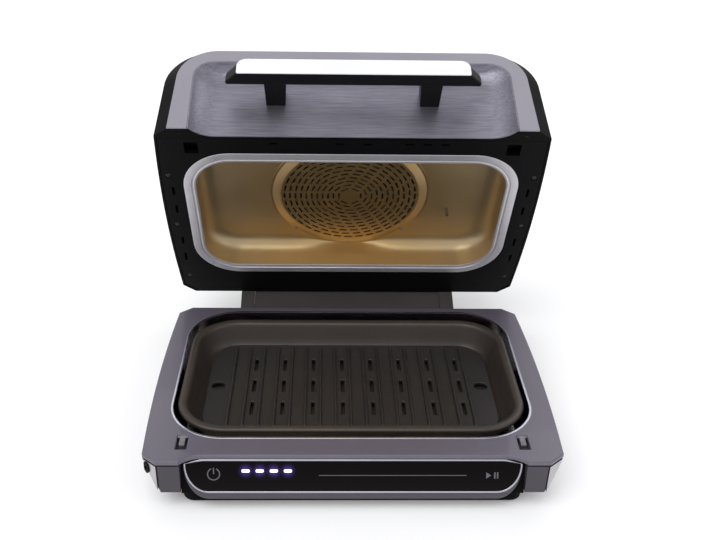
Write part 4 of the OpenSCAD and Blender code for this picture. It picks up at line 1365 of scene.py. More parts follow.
@dataclass
class ControlPanel:
    """Sloping panel in the front recess, with its trim, glass, lights and marks.

    Attributes:
        pocket: Depth of the bezel's pocket.
        bezel_t: Thickness of the bezel.
        bezel_w: Width of the bezel below the glass.
        trim_w: Width of the bright trim.
        trim_high: Height of the trim above the bezel.
        bar: Half the length, half the width and corner radius of a light.
        bar_h: Height of a light.
        power_x: Place of the power mark; the play-and-pause mark lies opposite.
        power_r: Inner and outer radius of the power mark.
        power_arc: Where its ring starts and ends, in degrees.
        mark_v: Height of the marks on the panel.
        mark_hh: Half the height of the marks.
        mark_t: Thickness of the marks.
        line: Half the length, half the width and corner radius of the thin line.
        line_x: Middle of the line.
    """

    pocket: float = 2.2
    bezel_t: float = 5.0
    bezel_w: float = 7.0
    trim_w: float = 2.0
    trim_high: float = 0.55
    bar: Vec3 = (4.25, 1.7, 1.2)
    bar_h: float = 0.38
    power_x: float = -149.0
    power_r: Point2 = (5.8, 7.0)
    power_arc: tuple[int, int] = (112, 429)
    mark_v: float = -18.0
    mark_hh: float = 3.5
    mark_t: float = 0.38
    line: Vec3 = (79.0, 0.38, 0.3)
    line_x: float = 42.0

    def build(self) -> None:
        """Builds the panel's pieces."""
        def tool(side: float, foot: float, top: float, low: float) -> bpy.types.Object:
            """Shape to cut out of the bezel."""
            return Solid(Place.PANEL).cutter(Outline.panel(side, foot, top), low, 6.0)

        bezel = Solid(Place.PANEL).prism(Outline.panel(1.0, self.bezel_w), -self.bezel_t, 0.0, edge=2.4,
                                         low_edge=0.5, steps=5).build("control_bezel", Finishes.bezel)
        Workshop.cut(bezel, [tool(0.1, 0.1, -3.0, -self.pocket), tool(-14.0, -6.0, 6.0, -8.0)])
        Workshop.place(bezel, "base", "bezel_plastic", "panel_bezel")
        w, gap = self.trim_w, self.trim_w + 0.1
        trim = Solid(Place.PANEL).prism(Outline.panel(0.0, 0.0), -self.pocket, self.trim_high,
                                        [Outline.panel(-w, -w, w)], edge=0.5, low_edge=0.05)
        Workshop.place(trim.build("control_frame", Finishes.trim), "base", "bright_trim", "panel_trim")
        glass = Solid(Place.PANEL).prism(Outline.panel(-gap, -gap, gap), -self.pocket, LIGHTS.glass_w, edge=0.35,
                                         low_edge=0.05)
        Workshop.place(glass.build("touch_glass", Finishes.glass), "base", "panel_glass", "control_glass")
        bar = Solid(Place.BENCH).prism(Outline.rounded_rect(*self.bar, steps=5), 0.0, self.bar_h, edge=0.15)
        lights = LINE.make("level_lights", bar.build("bar"), Finishes.light, Place.PANEL, Count=LIGHTS.count,
                           Start=(LIGHTS.first_x, LIGHTS.height, LIGHTS.glass_w), Step=(LIGHTS.pitch, 0.0, 0.0))
        Workshop.place(lights, "base", "light_violet", "light_bars")
        Workshop.place(self.marks().build("touch_marks", Finishes.marks), "base", "mark_print", "panel_marks")

    def marks(self) -> Solid:
        """Draws the power mark, the thin line and the play-and-pause mark.

        Returns:
            The marks.
        """
        marks, low, half = Solid(Place.PANEL), LIGHTS.glass_w, self.mark_hh
        cx, cv = self.power_x, self.mark_v + 1.5
        arc = [math.radians(a) for a in range(*self.power_arc, 8)]
        inner, outer = ([(cx + r * math.cos(a), cv + r * math.sin(a)) for a in arc] for r in self.power_r)
        px, pv = -self.power_x, self.mark_v
        loops = [outer + inner[::-1], Outline.rounded_rect(0.6, half, 0.5, (cx, cv + half), 3),
                 Outline.rounded_rect(*self.line, (self.line_x, pv), 3),
                 [(px - 2 * half, pv - half), (px - 1.5, pv), (px - 2 * half, pv + half)]]
        loops += [Outline.rounded_rect(0.8, half, 0.3, (px + x, pv), 3) for x in (2.3, 5.3)]
        for loop in loops:
            marks.prism(loop, low, low + self.mark_t, edge=0.05, low_edge=0.0, steps=1)
        return marks


# ---------------------------------------------------------------------------
# Pot and grill plate
# ---------------------------------------------------------------------------


@dataclass
class Cookware:
    """Lift-out pot and the ribbed plate that stands in it.

    Attributes:
        rim: Half the width, half the depth and corner radius of the pot's rim.
        centre: Middle of the pot.
        pot_z: Height of the pot's underside.
        pot_top: Height of its rim.
        plate: Half the width, half the depth and corner radius of the plate.
        plate_z: Height of the plate's underside.
        plate_t: Thickness of the plate.
        finger_r: Radius of the finger holes.
        finger_in: Distance of the finger holes from the plate's ends.
        drain: Length and width of the drain slots.
        drain_y: Distance between the rows of drain slots.
        stud_in: Distance of the plate's studs from its ends and from its front and back.
        ridge_h: Height of the ridges.
        ridge_w: Width of the ridges.
        ridge_in: Distance of the ridges' ends from the plate's edge.
        ridge_pitch: Distance from one ridge to the next.
        ridges: Number of ridges.
    """

    rim: Vec3 = (200.0, 119.0, 58.0)
    centre: Point2 = (0.0, 14.0)
    pot_z: float = 26.3
    pot_top: float = 60.5
    plate: Vec3 = (174.0, 93.0, 35.0)
    plate_z: float = 32.6
    plate_t: float = 4.0
    finger_r: float = 8.0
    finger_in: float = 13.0
    drain: Point2 = (26.0, 4.0)
    drain_y: float = 46.0
    stud_in: Point2 = (34.0, 22.0)
    ridge_h: float = 3.5
    ridge_w: float = 3.5
    ridge_in: float = 9.0
    ridge_pitch: float = 18.0
    ridges: int = 17

    def outline(self, inset: float) -> Loop:
        """Outline of the pot's rim, moved inwards."""
        hw, hd, r = self.rim
        return Outline.rounded_rect(hw - inset, hd - inset, max(r - inset, 12.0), self.centre, 20)

    def build(self) -> None:
        """Builds the pot and the plate."""
        z, top = self.pot_z, self.pot_top
        pot = Solid(Place.BODY).bowl(
            [(30.0, z), (25.0, z + 0.1), (22.6, z + 1.0), (20.2, z + 3.6), (16.4, z + 9.6), (11.2, top - 7.0),
             (10.4, top - 6.0), (2.0, top - 6.0), (0.7, top - 5.6), (0.1, top - 4.6), (0.0, top - 3.2),
             (0.3, top - 1.8), (1.1, top - 0.8), (2.3, top - 0.2), (4.0, top), (6.6, top - 0.05), (8.6, top - 0.5),
             (10.0, top - 1.5), (10.9, top - 3.0), (11.5, top - 5.0), (14.4, top - 15.0), (16.2, top - 20.5),
             (17.6, top - 24.3), (19.4, top - 27.8), (22.0, top - 30.3), (25.0, top - 31.7), (29.0, z + 2.05),
             (33.0, z + 2.0)], self.outline)
        Workshop.place(pot.build("roasting_pot", Finishes.pot, smooth=50.0), "pot", "pot_nonstick", "cooking_pot")
        Workshop.place(self.build_plate(), "plate", "plate_nonstick", "grill_plate")

    def build_plate(self) -> bpy.types.Object:
        """Builds the ribbed plate.

        Returns:
            The piece.
        """
        hw, hd, r = self.plate
        low, high, cy = self.plate_z, self.plate_z + self.plate_t, self.centre[1]
        middle = self.ridges // 2
        holes = [Outline.circle(self.finger_r, (s * (hw - self.finger_in), cy), 28) for s in (1, -1)]
        holes += [Outline.slot(*self.drain, ((k + 0.5) * self.ridge_pitch, cy + y), upright=True)
                  for k in range(1 - middle, middle, 2) for y in (-self.drain_y, 0.0, self.drain_y)]
        plate = Solid(Place.BODY).prism(Outline.rounded_rect(hw, hd, r, self.centre, 16), low, high, holes, edge=1.2,
                                        low_edge=0.8)
        for x, y, _ in corners(hw - self.stud_in[0], hd - self.stud_in[1], 0.0):
            plate.turned([(0.0, low - 4.0), (4.2, low - 4.0), (5.0, low - 3.2), (5.0, low + 0.4), (0.0, low + 0.4)],
                         20, (x, y + cy))
        plate = plate.build("ribbed_plate", Finishes.plate)
        w, h, half = self.ridge_w / 2, self.ridge_h, hd - self.ridge_in
        rings = []
        for y, share in ((-half, 0.12), (-half + 1.0, 0.45), (-half + 3.0, 0.85), (-half + 6.0, 1.0),
                         (half - 6.0, 1.0), (half - 3.0, 0.85), (half - 1.0, 0.45), (half, 0.12)):
            t = share * h
            side = [(w, -0.4), (w, 0.0), (0.72 * w, 0.55 * t), (0.5 * w, 0.9 * t), (0.2 * w, t)]
            section = both_sides(side)
            rings.append([Vector((x, y, v)) for x, v in section[-1:] + section[:-1]])
        ridge = Solid(Place.BENCH).loft(rings).build("ridge")
        ridges = LINE.make("ridges", ridge, Finishes.plate, Place.BODY, Count=self.ridges,
                           Start=(-middle * self.ridge_pitch, cy, high), Step=(self.ridge_pitch, 0.0, 0.0))
        return Workshop.join(plate, ridges)


# ---------------------------------------------------------------------------
# Lid
# ---------------------------------------------------------------------------


@dataclass
class LidShell:
    """Outer shell of the lid, its face border and the steel sheet in the face.

    Attributes:
        wall: Thickness of the shell.
        steel_t: Thickness of the steel sheet.
        border_t: Thickness of the face border.
        face_top: Height of the recess's top on the face.
        dish_depth: Depth of the recess.
        dish_run: Width of the curve at each side of the recess.
        dish_r: Radius of its upper corners.
        vent: Half the width, the lower and the upper edge of the vent's opening.
        vent_y: Where the vent's opening starts and ends, front to back.
        post_x: Distance of the handle's posts from the middle.
        post_v: Height of the posts' screws on the face.
        post_bore: Radius of the screws' holes.
    """

    wall: float = 2.5
    steel_t: float = 1.2
    border_t: float = 2.2
    face_top: float = 108.0
    dish_depth: float = 14.0
    dish_run: float = 30.0
    dish_r: float = 25.0
    vent: Vec3 = (60.0, 122.7, 152.7)
    vent_y: Point2 = (153.0, 160.0)
    post_x: float = 89.0
    post_v: float = 61.0
    post_bore: float = 1.9

    def form(self, inset: float, front: float, low: float, name: str) -> bpy.types.Object:
        """Solid form of the lid.

        Args:
            inset: Distance inside the outer face.
            front: Where the full section starts, front to back.
            low: Height of its open side above the rim.
            name: Name of the object.

        Returns:
            The solid.
        """
        s, steps, rings = SIZES, 24, []
        back, crown = s.lid_hd - s.corner_y, s.face_r + 12.0

        def ring(y: float, hw: float, h: float, r: float) -> None:
            """Adds one upright section."""
            loop = Outline.lid_section(hw, hw - s.side_lean, low, h, r)
            rings.append([Vector((x, y, s.rim_z + z)) for x, z in loop])

        if not inset:
            ring(-s.lid_hd + self.border_t + 0.3, s.front_hw, s.face_h, s.face_r)
        for k in range(steps + 1):
            t = 1 - (2 * k / steps - 1) ** 2
            ring(front + (back - front) * k / steps, s.half_w + s.side_bow * t - inset,
                 s.lid_h + s.bulge * t - inset, crown)
        ring(s.lid_hd - inset, s.front_hw - inset, s.face_h - inset, s.face_r)
        return Solid(Place.LID).loft(rings).build(name)

    def dish(self, grow: float, low: float = -2.0, front: float = -8.0) -> bpy.types.Object:
        """Shallow recess in the lid's face, as a solid.

        Args:
            grow: How far it grows on every side.
            low: Height of its open side above the rim.
            front: Depth of its front end behind the lid's face.

        Returns:
            The solid.
        """
        s, rings = SIZES, []
        arc = Outline.run(self.dish_run, self.dish_depth, 16)
        levels = [(self.dish_depth - h + grow, hw) for hw, h in arc] + [(front, s.crease_hw)]
        for y, hw in levels:
            loop = Outline.lid_section(hw + grow, hw + grow, low, self.face_top - (s.crease_hw - hw) / 3 + grow,
                                       self.dish_r, 12)
            rings.append([Vector((x, y - s.lid_hd, s.rim_z + z)) for x, z in loop])
        return Solid(Place.LID).loft(rings).build("dish")

    def posts(self) -> bpy.types.Object:
        """Holes for the handle's screws, as a solid to cut away.

        Returns:
            The solid.
        """
        holes = Solid(Place.FACE)
        for s in (1, -1):
            hole = Outline.circle(self.post_bore, (s * self.post_x, self.post_v), 16)
            holes.prism(hole, -31.0, 9.0, edge=0.0, steps=1)
        return holes.build("holes")

    def build(self) -> None:
        """Builds the shell, the border and the steel sheet."""
        s = SIZES
        backing = self.steel_t + s.fit
        shell = self.form(0.0, -s.lid_hd + s.corner_y, 0.0, "lid_outer")
        inside = self.form(self.wall, -s.lid_hd + self.dish_depth + backing + self.wall, -1.0, "inside")
        (hw, low, high), (near, far) = self.vent, self.vent_y
        vent = Solid(Place.LID).cutter([(-hw, near), (hw, near), (hw, far), (-hw, far)], low, high)
        Workshop.cut(shell, [inside, self.dish(backing), vent, self.posts()], smooth=28.0, soften=0.7)
        Finishes.shell.dress(shell)
        Workshop.place(shell, "lid", "shell_plastic", "lid_shell")
        loop = Outline.lid_section(s.front_hw, s.front_hw - s.side_lean, 0.0, s.face_h, s.face_r)
        border = Solid(Place.LID).prism([(x, s.rim_z + z) for x, z in loop], -s.lid_hd, -s.lid_hd + self.border_t,
                                        edge=0.05, low_edge=0.7, axis=Axis.Y).build("face_frame")
        Workshop.cut(border, [self.dish(backing)])
        Finishes.border.dress(border)
        Workshop.place(border, "lid", "border_paint", "face_border")
        sheet = self.dish(self.steel_t, 0.5, 0.0)
        Workshop.cut(sheet, [self.dish(0.0, -4.0, -12.0), self.posts()], smooth=24.0)
        Finishes.steel.dress(sheet)
        Workshop.place(sheet, "lid", "face_steel", "steel_panel")


@dataclass
class Cavity:
    """Underside of the lid: rim, cavity ring, liner, heater and its guard.

    Attributes:
        ring: Half the width, half the depth and corner radius of the cavity ring.
        screws: Places of the rim's screws on the right side.
        band: Width of the cavity ring.
        ceiling_z: Height of the liner's ceiling.
        draw: How far the liner's walls stand inside the ring.
        sheet_t: Thickness of the liner.
        corner_r: Radius between the liner's walls and its ceiling.
        soft_in: How far the ceiling's flat middle lies inside the walls.
        soft_bend: How much further inside it lies at the sides.
        soft_near: Share of that in front of and behind the guard.
        soft_x: Distance from the middle where the bend starts, and the run over which it grows.
        probe: Place of the probe's hole beside the guard and behind its middle, and its radius.
        guard_r: Radius of the guard.
        guard_dish: Depth of the guard below the ceiling.
        guard_rows: Rows of slots from the middle to the guard's edge, of which the first stays closed.
        slot_hw: Half the width of a slot.
        slot_share: Half a slot's length as a share of its row's radius, times the slots in the row.
        rivets: Number of rivets round the guard.
        coil: Radii of the two turns of the heating tube.
        tube_r: Radius of the tube.
        link_r: Radius of the piece between the turns.
        pin_r: Radius of the terminals.
        pin_l: Length of the terminals.
        pin_angles: Places of the terminals round the coil, in degrees.
    """

    ring: Vec3 = (201.0, 115.0, 59.0)
    screws: tuple[Point2, ...] = ((196.0, -148.0), (217.0, -78.0), (217.0, 13.0), (213.0, 122.0))
    band: float = 11.0
    ceiling_z: float = 103.7
    draw: float = 1.5
    sheet_t: float = 1.0
    corner_r: float = 20.0
    soft_in: float = 16.0
    soft_bend: float = 40.0
    soft_near: float = 0.06
    soft_x: Point2 = (15.0, 60.0)
    probe: Vec3 = (26.0, 30.0, 2.4)
    guard_r: float = 101.0
    guard_dish: float = 5.0
    guard_rows: int = 12
    slot_hw: float = 1.2
    slot_share: float = 2.2
    rivets: int = 4
    coil: Point2 = (78.0, 65.0)
    tube_r: float = 3.4
    link_r: float = 3.1
    pin_r: float = 2.0
    pin_l: float = 38.0
    pin_angles: Point2 = (84.0, 96.0)

    def outline(self, inset: float) -> Loop:
        """Outline of the ring, moved inwards."""
        hw, hd, r = self.ring
        return Outline.rounded_rect(hw - inset, hd - inset, max(r - inset, 8.0), (0.0, SIZES.fan_y), 20)

    def build(self) -> None:
        """Builds the underside's pieces."""
        z = SIZES.rim_z
        rim = Workshop.refine("rim_frame", Finishes.black, 0.35)
        Workshop.place(rim, "lid", "black_plastic", "rim_frame")
        places = [(sx * x, y, z + 2.0) for sx in (1, -1) for x, y in self.screws]
        screws = POINTS.make("lid_screws", screw_head(), Finishes.dark_screw, Place.LID, places)
        Workshop.place(screws, "lid", "screw_steel", "rim_screws")
        ring = Solid(Place.LID).bowl(
            [(0.0, z + 1.6), (0.0, z + 0.6), (0.25, z + 0.2), (0.7, z), (9.0, z), (9.4, z + 0.1), (9.6, z + 0.5),
             (9.7, z + 1.2), (11.4, z + 1.2), (11.5, z + 0.7), (11.8, z + 0.45), (12.3, z + 0.4), (13.6, z + 0.45),
             (14.4, z + 0.6), (14.9, z + 1.0), (15.0, z + 1.6)], self.outline, closed=True)
        Workshop.place(ring.build("seal_ring", Finishes.ring), "lid", "bright_trim", "cavity_ring")
        Workshop.place(self.liner(), "lid", "liner_steel", "cavity_liner")
        Workshop.place(self.guard(), "lid", "liner_steel", "heater_guard")
        rivet = Solid(Place.BENCH).turned([(0.0, 0.0), (2.2, 0.0), (2.2, -0.4), (1.7, -1.1), (0.9, -1.45),
                                           (0.0, -1.5)], 18).build("rivet")
        rivets = RING.make("guard_pins", rivet, Finishes.screw, Place.FAN, Count=self.rivets, Radius=self.guard_r - 2.0,
                           Turn=math.radians(45.0), Start=(0.0, 0.0, self.ceiling_z - 1.02))
        Workshop.place(rivets, "lid", "screw_steel", "guard_rivets")
        self.element()

    def bent(self, inset: float, bend: float, z: float) -> list[Vector]:
        """Ring of points moved inwards, and less far in front of and behind the guard.

        Args:
            inset: Distance inside the cavity ring's outline.
            bend: Further distance inwards away from the guard.
            z: Height of the ring.

        Returns:
            The ring's points.
        """
        near, far = (Outline.divided(self.outline(inset + share * bend), 32) for share in (self.soft_near, 1.0))
        points = []
        for (ax, ay), (bx, by) in zip(near, far):
            t = min(max((abs(ax) - self.soft_x[0]) / self.soft_x[1], 0.0), 1.0)
            w = t * t * (3.0 - 2.0 * t)
            points.append(Vector((ax + (bx - ax) * w, ay + (by - ay) * w, z)))
        return points

    def corner(self, inset: float, r: float, top: float) -> list[list[Vector]]:
        """Rings of the liner's round corner, from where its walls end up to its ceiling."""
        return [self.bent(inset, r * (1 - math.cos(a)), top - r * (1 - math.sin(a))) for a in quarter(8)]

    def liner(self) -> bpy.types.Object:
        """Drawn steel liner with round openings in its ceiling.

        Returns:
            The piece.
        """
        b, low, top, e = self.band, SIZES.rim_z + 1.6, self.ceiling_z, self.band + self.draw
        r, t, middle, bend = self.corner_r, self.sheet_t, e + self.soft_in, self.soft_bend
        rings = [self.bent(middle, bend, top + t)] + self.corner(e - t, r + t, top + t)[::-1]
        rings += [self.bent(inset, 0.0, z) for inset, z in (
            (b - 1.0, low + 6.2), (0.0, low + 5.4), (0.0, low + 4.4), (b - 0.6, low + 4.4), (b, low),
            (b + 0.25, low + 3.0))]
        rings += self.corner(e, r, top) + [self.bent(middle, bend, top)]
        liner = Solid(Place.LID).loft(rings).build("heat_liner", Finishes.liner, smooth=40.0)
        beside, behind, bore = self.probe
        holes = (Outline.circle(self.guard_r - 9.0, steps=72),
                 Outline.circle(bore, (self.guard_r + beside, behind), 20))
        Workshop.cut(liner, [Solid(Place.FAN).cutter(hole, top - 1.0, top + 3.0) for hole in holes],
                     smooth=40.0)
        return liner

    def guard(self) -> bpy.types.Object:
        """Dished guard with rings of slots.

        Returns:
            The piece.
        """
        r, top, deep = self.guard_r, self.ceiling_z - 0.01, self.guard_dish
        disc = Solid(Place.FAN).prism(Outline.circle(r - 14.6, steps=96), top - deep, top - deep + 1.2, edge=0.3,
                                      low_edge=0.3).build("guard_face")
        slots = []
        for k in range(2, self.guard_rows + 1):
            radius, n = k * (r - 18.0) / self.guard_rows, 3 * k
            loop = Outline.rounded_rect(self.slot_hw, self.slot_share * radius / n, 1.0, steps=3)
            slots.append(RING.make("slots", Solid(Place.BENCH).cutter(loop, -2.0, 3.0), Finishes.guard, Place.FAN,
                                   Count=n, Radius=radius, Turn=math.pi * k / n, Start=(0.0, 0.0, top - deep)))
        Workshop.cut(disc, slots, smooth=30.0)
        skirt = Solid(Place.FAN).turned(
            [(r - 15.2, top - deep), (r - 14.0, top - deep), (r - 12.6, top - deep + 0.35), (r - 3.4, top - 1.3),
             (r - 2.0, top - 1.0), (r - 0.3, top - 1.0), (r, top - 0.7), (r, top - 0.2), (r - 0.3, top),
             (r - 3.0, top), (r - 4.2, top - 0.3), (r - 13.2, top - deep + 1.5), (r - 14.4, top - deep + 1.2),
             (r - 15.2, top - deep + 1.2)], 96).build("guard_skirt", Finishes.guard)
        guard = Workshop.join(disc, skirt, "slotted_guard")
        Finishes.guard.dress(guard)
        return guard

    def element(self) -> None:
        """Builds the heating tube and dresses the fan housing behind it."""
        z = self.ceiling_z + self.sheet_t + self.tube_r + 3.0
        tube = Solid(Place.FAN)
        for radius in self.coil:
            tube.turned(Outline.circle(self.tube_r, (radius, z), 14), 96)
        tube.prism(Outline.circle(self.link_r, (0.0, z), 14), self.coil[1], self.coil[0], edge=0.0, steps=1,
                   axis=Axis.Y)
        r, top = self.pin_r, z + self.pin_l
        for a in map(math.radians, self.pin_angles):
            tube.turned([(0.0, z), (r, z), (r, top - 0.4), (r - 0.4, top), (0.0, top)], 16,
                        (self.coil[0] * math.cos(a), self.coil[0] * math.sin(a)))
        Workshop.place(tube.build("heater_coil", Finishes.heater, smooth=50.0), "lid", "heater_tube", "heating_element")
        for node, finish in (("fan_shroud", Finishes.sheet), ("motor", Finishes.motor),
                             ("motor_screws", Finishes.screw), ("temperature_probe", Finishes.screw)):
            finish.dress(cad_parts[node])


@dataclass
class Fan:
    """Blades that turn with the motor's shaft.

    Attributes:
        motor_z: Height of the motor's underside.
        gap: Distance from the blades to the motor.
        blade_h: Height of the blades.
        radius: Radius of the wheel.
        bore: Radius of the wheel's bore.
        hub_r: Radius of the hub.
        blades: Number of blades.
    """

    motor_z: float = 137.7
    gap: float = 4.0
    blade_h: float = 16.0
    radius: float = 64.0
    bore: float = 3.05
    hub_r: float = 9.0
    blades: int = 12

    def build(self) -> None:
        """Builds the impeller and dresses the shaft and the cooling fan."""
        low = self.motor_z - self.gap - self.blade_h
        high, r, bore, hub = low + self.blade_h, self.radius, self.bore, self.hub_r
        wheel = Solid(Place.FAN)
        wheel.turned([(bore, high - 1.2), (r - 0.4, high - 1.2), (r, high - 0.9), (r, high - 0.3), (r - 0.4, high),
                      (bore, high)], 72)
        wheel.turned([(bore, low + 1.0), (hub - 1.4, low + 1.0), (hub, low + 2.4), (hub, high - 1.0),
                      (bore, high - 1.0)], 36)
        wheel = wheel.build("wheel", Finishes.sheet)
        blade = Solid(Place.BENCH)
        (ax, ay), (bx, by) = (24.0, -0.6), (r - 4.9, 7.0)
        blade.prism([(ax, ay), (bx, by - 0.2), (bx - 0.25, by + 0.9), (ax - 0.2, ay + 1.1)], 0.2, self.blade_h - 0.8,
                    edge=0.25)
        blades = RING.make("blades", blade.build("blade"), Finishes.sheet, Place.FAN, Count=self.blades, Radius=0.0,
                           Turn=0.0, Start=(0.0, 0.0, low))
        Workshop.place(Workshop.join(wheel, blades, "hot_air_wheel"), "fan", "sheet_steel", "impeller")
        for node, finish in (("motor_shaft", Finishes.screw), ("cooling_fan", Finishes.sheet)):
            finish.dress(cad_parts[node])


@dataclass
class Handle:
    """Bar across the lid's face on two posts, with a bright cap.

    Attributes:
        length: Length of the bar.
        low: Height of its lower edge on the face.
        height: Height of the bar.
        stand: Distance from the face to the bar.
        depth: Depth of the bar.
        bevel: How far its front stands inside each end.
        cap_t: Thickness of the cap.
        round_r: Radius of the upper corners.
        foot_r: Radius of the lower corners.
    """

    length: float = 290.0
    low: float = 49.5
    height: float = 23.0
    stand: float = 18.5
    depth: float = 16.5
    bevel: float = 13.0
    cap_t: float = 2.0
    round_r: float = 13.0
    foot_r: float = 2.0

    def outline(self, inset: float, ends: float) -> Loop:
        """Outline of the bar from the front, with round upper corners.

        Args:
            inset: Distance inside the bar's outline.
            ends: Further distance inside each end.

        Returns:
            The outline's points.
        """
        hw, low, high = self.length / 2 - ends, self.low, self.low + self.height
        r, r0 = self.round_r - ends * 0.15, self.foot_r
        arcs = [(hw - r0, low + r0, r0, -90.0), (hw - r, high - r, r, 0.0), (r - hw, high - r, r, 90.0),
                (r0 - hw, low + r0, r0, 180.0)]
        loop = [(x + q * math.cos(a), y + q * math.sin(a)) for x, y, q, start in arcs for a in quarter(10, start)]
        return Outline.grown(loop, -inset)

    def build(self) -> None:
        """Builds the bar, the cap and the posts."""
        w0, w1, e = self.stand, self.stand + self.depth, self.bevel
        levels = [(1.2, 0.0, w0), (0.35, 0.0, w0 + 0.35), (0.0, 0.0, w0 + 1.2), (0.0, 0.0, w0 + 3.2),
                  (0.0, 0.5, w0 + 4.3), (0.0, e - 1.0, w1 - 0.9), (0.25, e - 0.5, w1 - 0.25), (0.8, e, w1)]
        bar = Solid(Place.FACE).loft([[Vector((x, y, w)) for x, y in self.outline(inset, ends)]
                                      for inset, ends, w in levels])
        Workshop.place(bar.build("grip_bar", Finishes.handle), "lid", "handle_plastic", "handle_bar")
        cap = Solid(Place.FACE).prism(self.outline(0.0, e), w1, w1 + self.cap_t, edge=1.5, low_edge=0.1, steps=5)
        Workshop.place(cap.build("grip_cap", Finishes.cap), "lid", "bright_trim", "handle_cap")
        posts = Workshop.refine("handle_posts", Finishes.handle, 1.0)
        Workshop.place(posts, "lid", "handle_plastic", "handle_posts")
        Finishes.screw.dress(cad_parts["handle_screws"])


@dataclass
class Rear:
    """Hinge barrel, vent and the plain parts inside the body."""

    def build(self) -> None:
        """Refines the rear pieces and dresses the hidden ones."""
        barrel = Workshop.refine("hinge_barrel", Finishes.hinge, 0.9)
        Workshop.place(barrel, "lid", "hinge_paint", "hinge_barrel")
        vent = Workshop.refine("rear_vent", Finishes.black, 0.4)
        Workshop.place(vent, "lid", "black_plastic", "rear_vent")
        for node, finish in (("panel_backing", Finishes.black), ("control_board", Finishes.board),
                             ("hinge_pins", Finishes.screw)):
            finish.dress(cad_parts[node])


# ---------------------------------------------------------------------------
# Studio
# ---------------------------------------------------------------------------


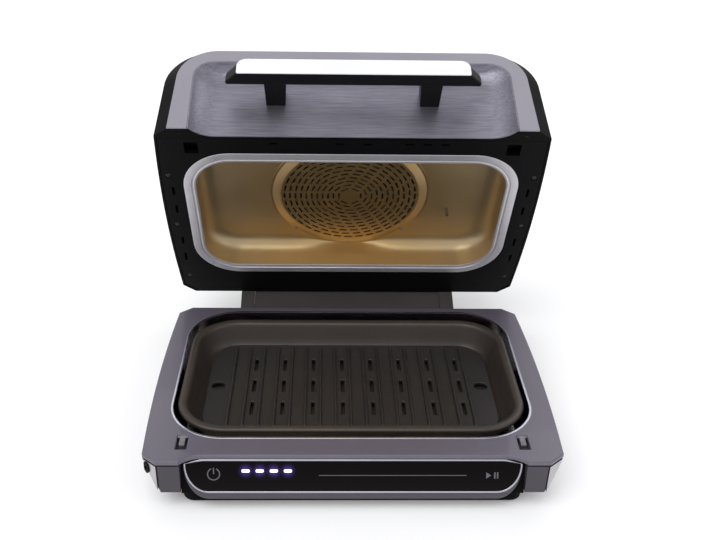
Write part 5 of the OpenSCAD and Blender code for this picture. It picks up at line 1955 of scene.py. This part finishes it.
@dataclass
class Studio:
    """Floor, soft lamps and the camera.

    Attributes:
        eye: Place of the camera, in metres.
        pitch: Angle that it looks down, in radians.
        yaw: Angle that it is turned to the right.
        roll: Angle that it is tilted.
        lens: Focal length in millimetres.
        shift: Shift of the picture as a share of its width.
        lamps: Name, place, size and power of each soft lamp.
        aim: Point that the lamps face.
        sun_power: Strength of the sky's light.
        sun_angle: Angle across which the sky's light comes, in degrees.
        sun_ahead: Direction of the sky's light.
        world_power: Strength of the world's light on the object.
        floor_lift: Strength that the floor adds to what is seen of it.
        floor_size: Half the floor's width, in metres.
    """

    eye: Vec3 = (-0.03360, -1.01812, 0.70159)
    pitch: float = 0.48427
    yaw: float = 0.025005
    roll: float = 0.01639
    lens: float = 47.263
    shift: Point2 = (0.0197, -0.0022)
    lamps: tuple[tuple[str, Vec3, Point2, float], ...] = (
        ("key", (-0.75, -1.1, 1.75), (1.5, 1.0), 3.0),
        ("fill", (1.45, -0.9, 1.1), (1.0, 1.2), 1.5),
        ("back", (0.2, 1.35, 1.6), (1.8, 0.7), 7.0))
    aim: Vec3 = (0.0, 0.0, 0.15)
    sun_power: float = 1.1
    sun_angle: float = 60.0
    sun_ahead: Vec3 = (0.35, 0.45, -1.0)
    world_power: float = 0.68
    floor_lift: float = 0.12
    floor_size: float = 6.0

    def build(self) -> None:
        """Builds the floor, the lamps and the camera."""
        self.floor()
        for lamp in self.lamps:
            self.lamp(*lamp)
        sun = bpy.data.lights.new("sky", "SUN")
        sun.energy, sun.angle = self.sun_power, math.radians(self.sun_angle)
        add_object("sky", sun).rotation_euler = self.facing(Vector(self.sun_ahead))
        self.camera()
        bpy.context.scene.view_settings.view_transform = "Standard"
        bpy.context.scene.world = self.sky()

    def facing(self, ahead: Vector) -> Euler:
        """Turn of a lamp that shines along a direction."""
        return ahead.to_track_quat("-Z", "Y").to_euler()

    def sky(self) -> bpy.types.World:
        """Makes the world, which the camera sees as white.

        Returns:
            The world.
        """
        world = bpy.data.worlds.new("studio")
        world.use_nodes = True
        tree = world.node_tree
        seen = tree.nodes.new("ShaderNodeLightPath").outputs["Is Camera Ray"]
        level = tree.nodes.new("ShaderNodeMapRange")
        level.inputs["To Min"].default_value = self.world_power
        tree.links.new(seen, level.inputs["Value"])
        tree.nodes["Background"].inputs["Color"].default_value = (0.98, 0.985, 1.0, 1.0)
        tree.links.new(level.outputs["Result"], tree.nodes["Background"].inputs["Strength"])
        return world

    def floor(self) -> None:
        """Adds the pale floor, which the camera and reflections see as white with its shadows."""
        graph = Graph("floor_paper")
        seen, glossy, through = (graph.add("ShaderNodeLightPath", {}, {}, f"Is {kind} Ray")
                                 for kind in ("Camera", "Glossy", "Transmission"))
        paper = graph.add("ShaderNodeBsdfDiffuse", {}, {
            "Color": graph.mix(graph.noise(3.0), (0.93, 0.93, 0.935), (0.90, 0.90, 0.905))})
        lift = graph.add("ShaderNodeEmission", {}, {"Color": (1.0, 1.0, 1.0, 1.0),
                                                    "Strength": (seen + glossy + through) * self.floor_lift})
        both = graph.add("ShaderNodeAddShader", {}, {0: paper, 1: lift})
        graph.add("ShaderNodeOutputMaterial", {}, {"Surface": both})
        mesh = bmesh.new()
        bmesh.ops.create_grid(mesh, x_segments=1, y_segments=1, size=self.floor_size)
        floor = add_mesh("floor", mesh)
        floor.data.materials.append(graph.material)

    def lamp(self, name: str, place: Vec3, size: Point2, power: float) -> None:
        """Adds one soft lamp that faces the object.

        Args:
            name: Name of the lamp.
            place: Where it stands.
            size: Width and height of its face.
            power: Power in watts.
        """
        light = bpy.data.lights.new(name, "AREA")
        light.shape = "RECTANGLE"
        light.size, light.size_y = size
        light.energy = power
        obj = add_object(name, light)
        obj.location = place
        obj.rotation_euler = self.facing(Vector(self.aim) - Vector(place))

    def camera(self) -> None:
        """Adds the camera."""
        cp, sp, cy, sy = math.cos(self.pitch), math.sin(self.pitch), math.cos(self.yaw), math.sin(self.yaw)
        ahead = Vector((sy * cp, cy * cp, -sp))
        right = Vector((cy, -sy, 0.0))
        up = right.cross(ahead)
        cr, sr = math.cos(self.roll), math.sin(self.roll)
        right, up = cr * right + sr * up, -sr * right + cr * up
        data = bpy.data.cameras.new("camera")
        data.lens = self.lens
        data.shift_x, data.shift_y = self.shift
        obj = add_object("camera", data)
        obj.matrix_world = Matrix((right, up, -ahead)).transposed().to_4x4()
        obj.location = self.eye
        bpy.context.scene.camera = obj


def main() -> None:
    """Builds the grill and the studio."""
    for part in (Deck(), Housing(), ControlPanel(), Cookware(), LidShell(), Cavity(), Fan(), Handle(), Rear()):
        LOG.info("building %s", type(part).__name__)
        part.build()
    Studio().build()


if __name__ == "__main__":
    main()
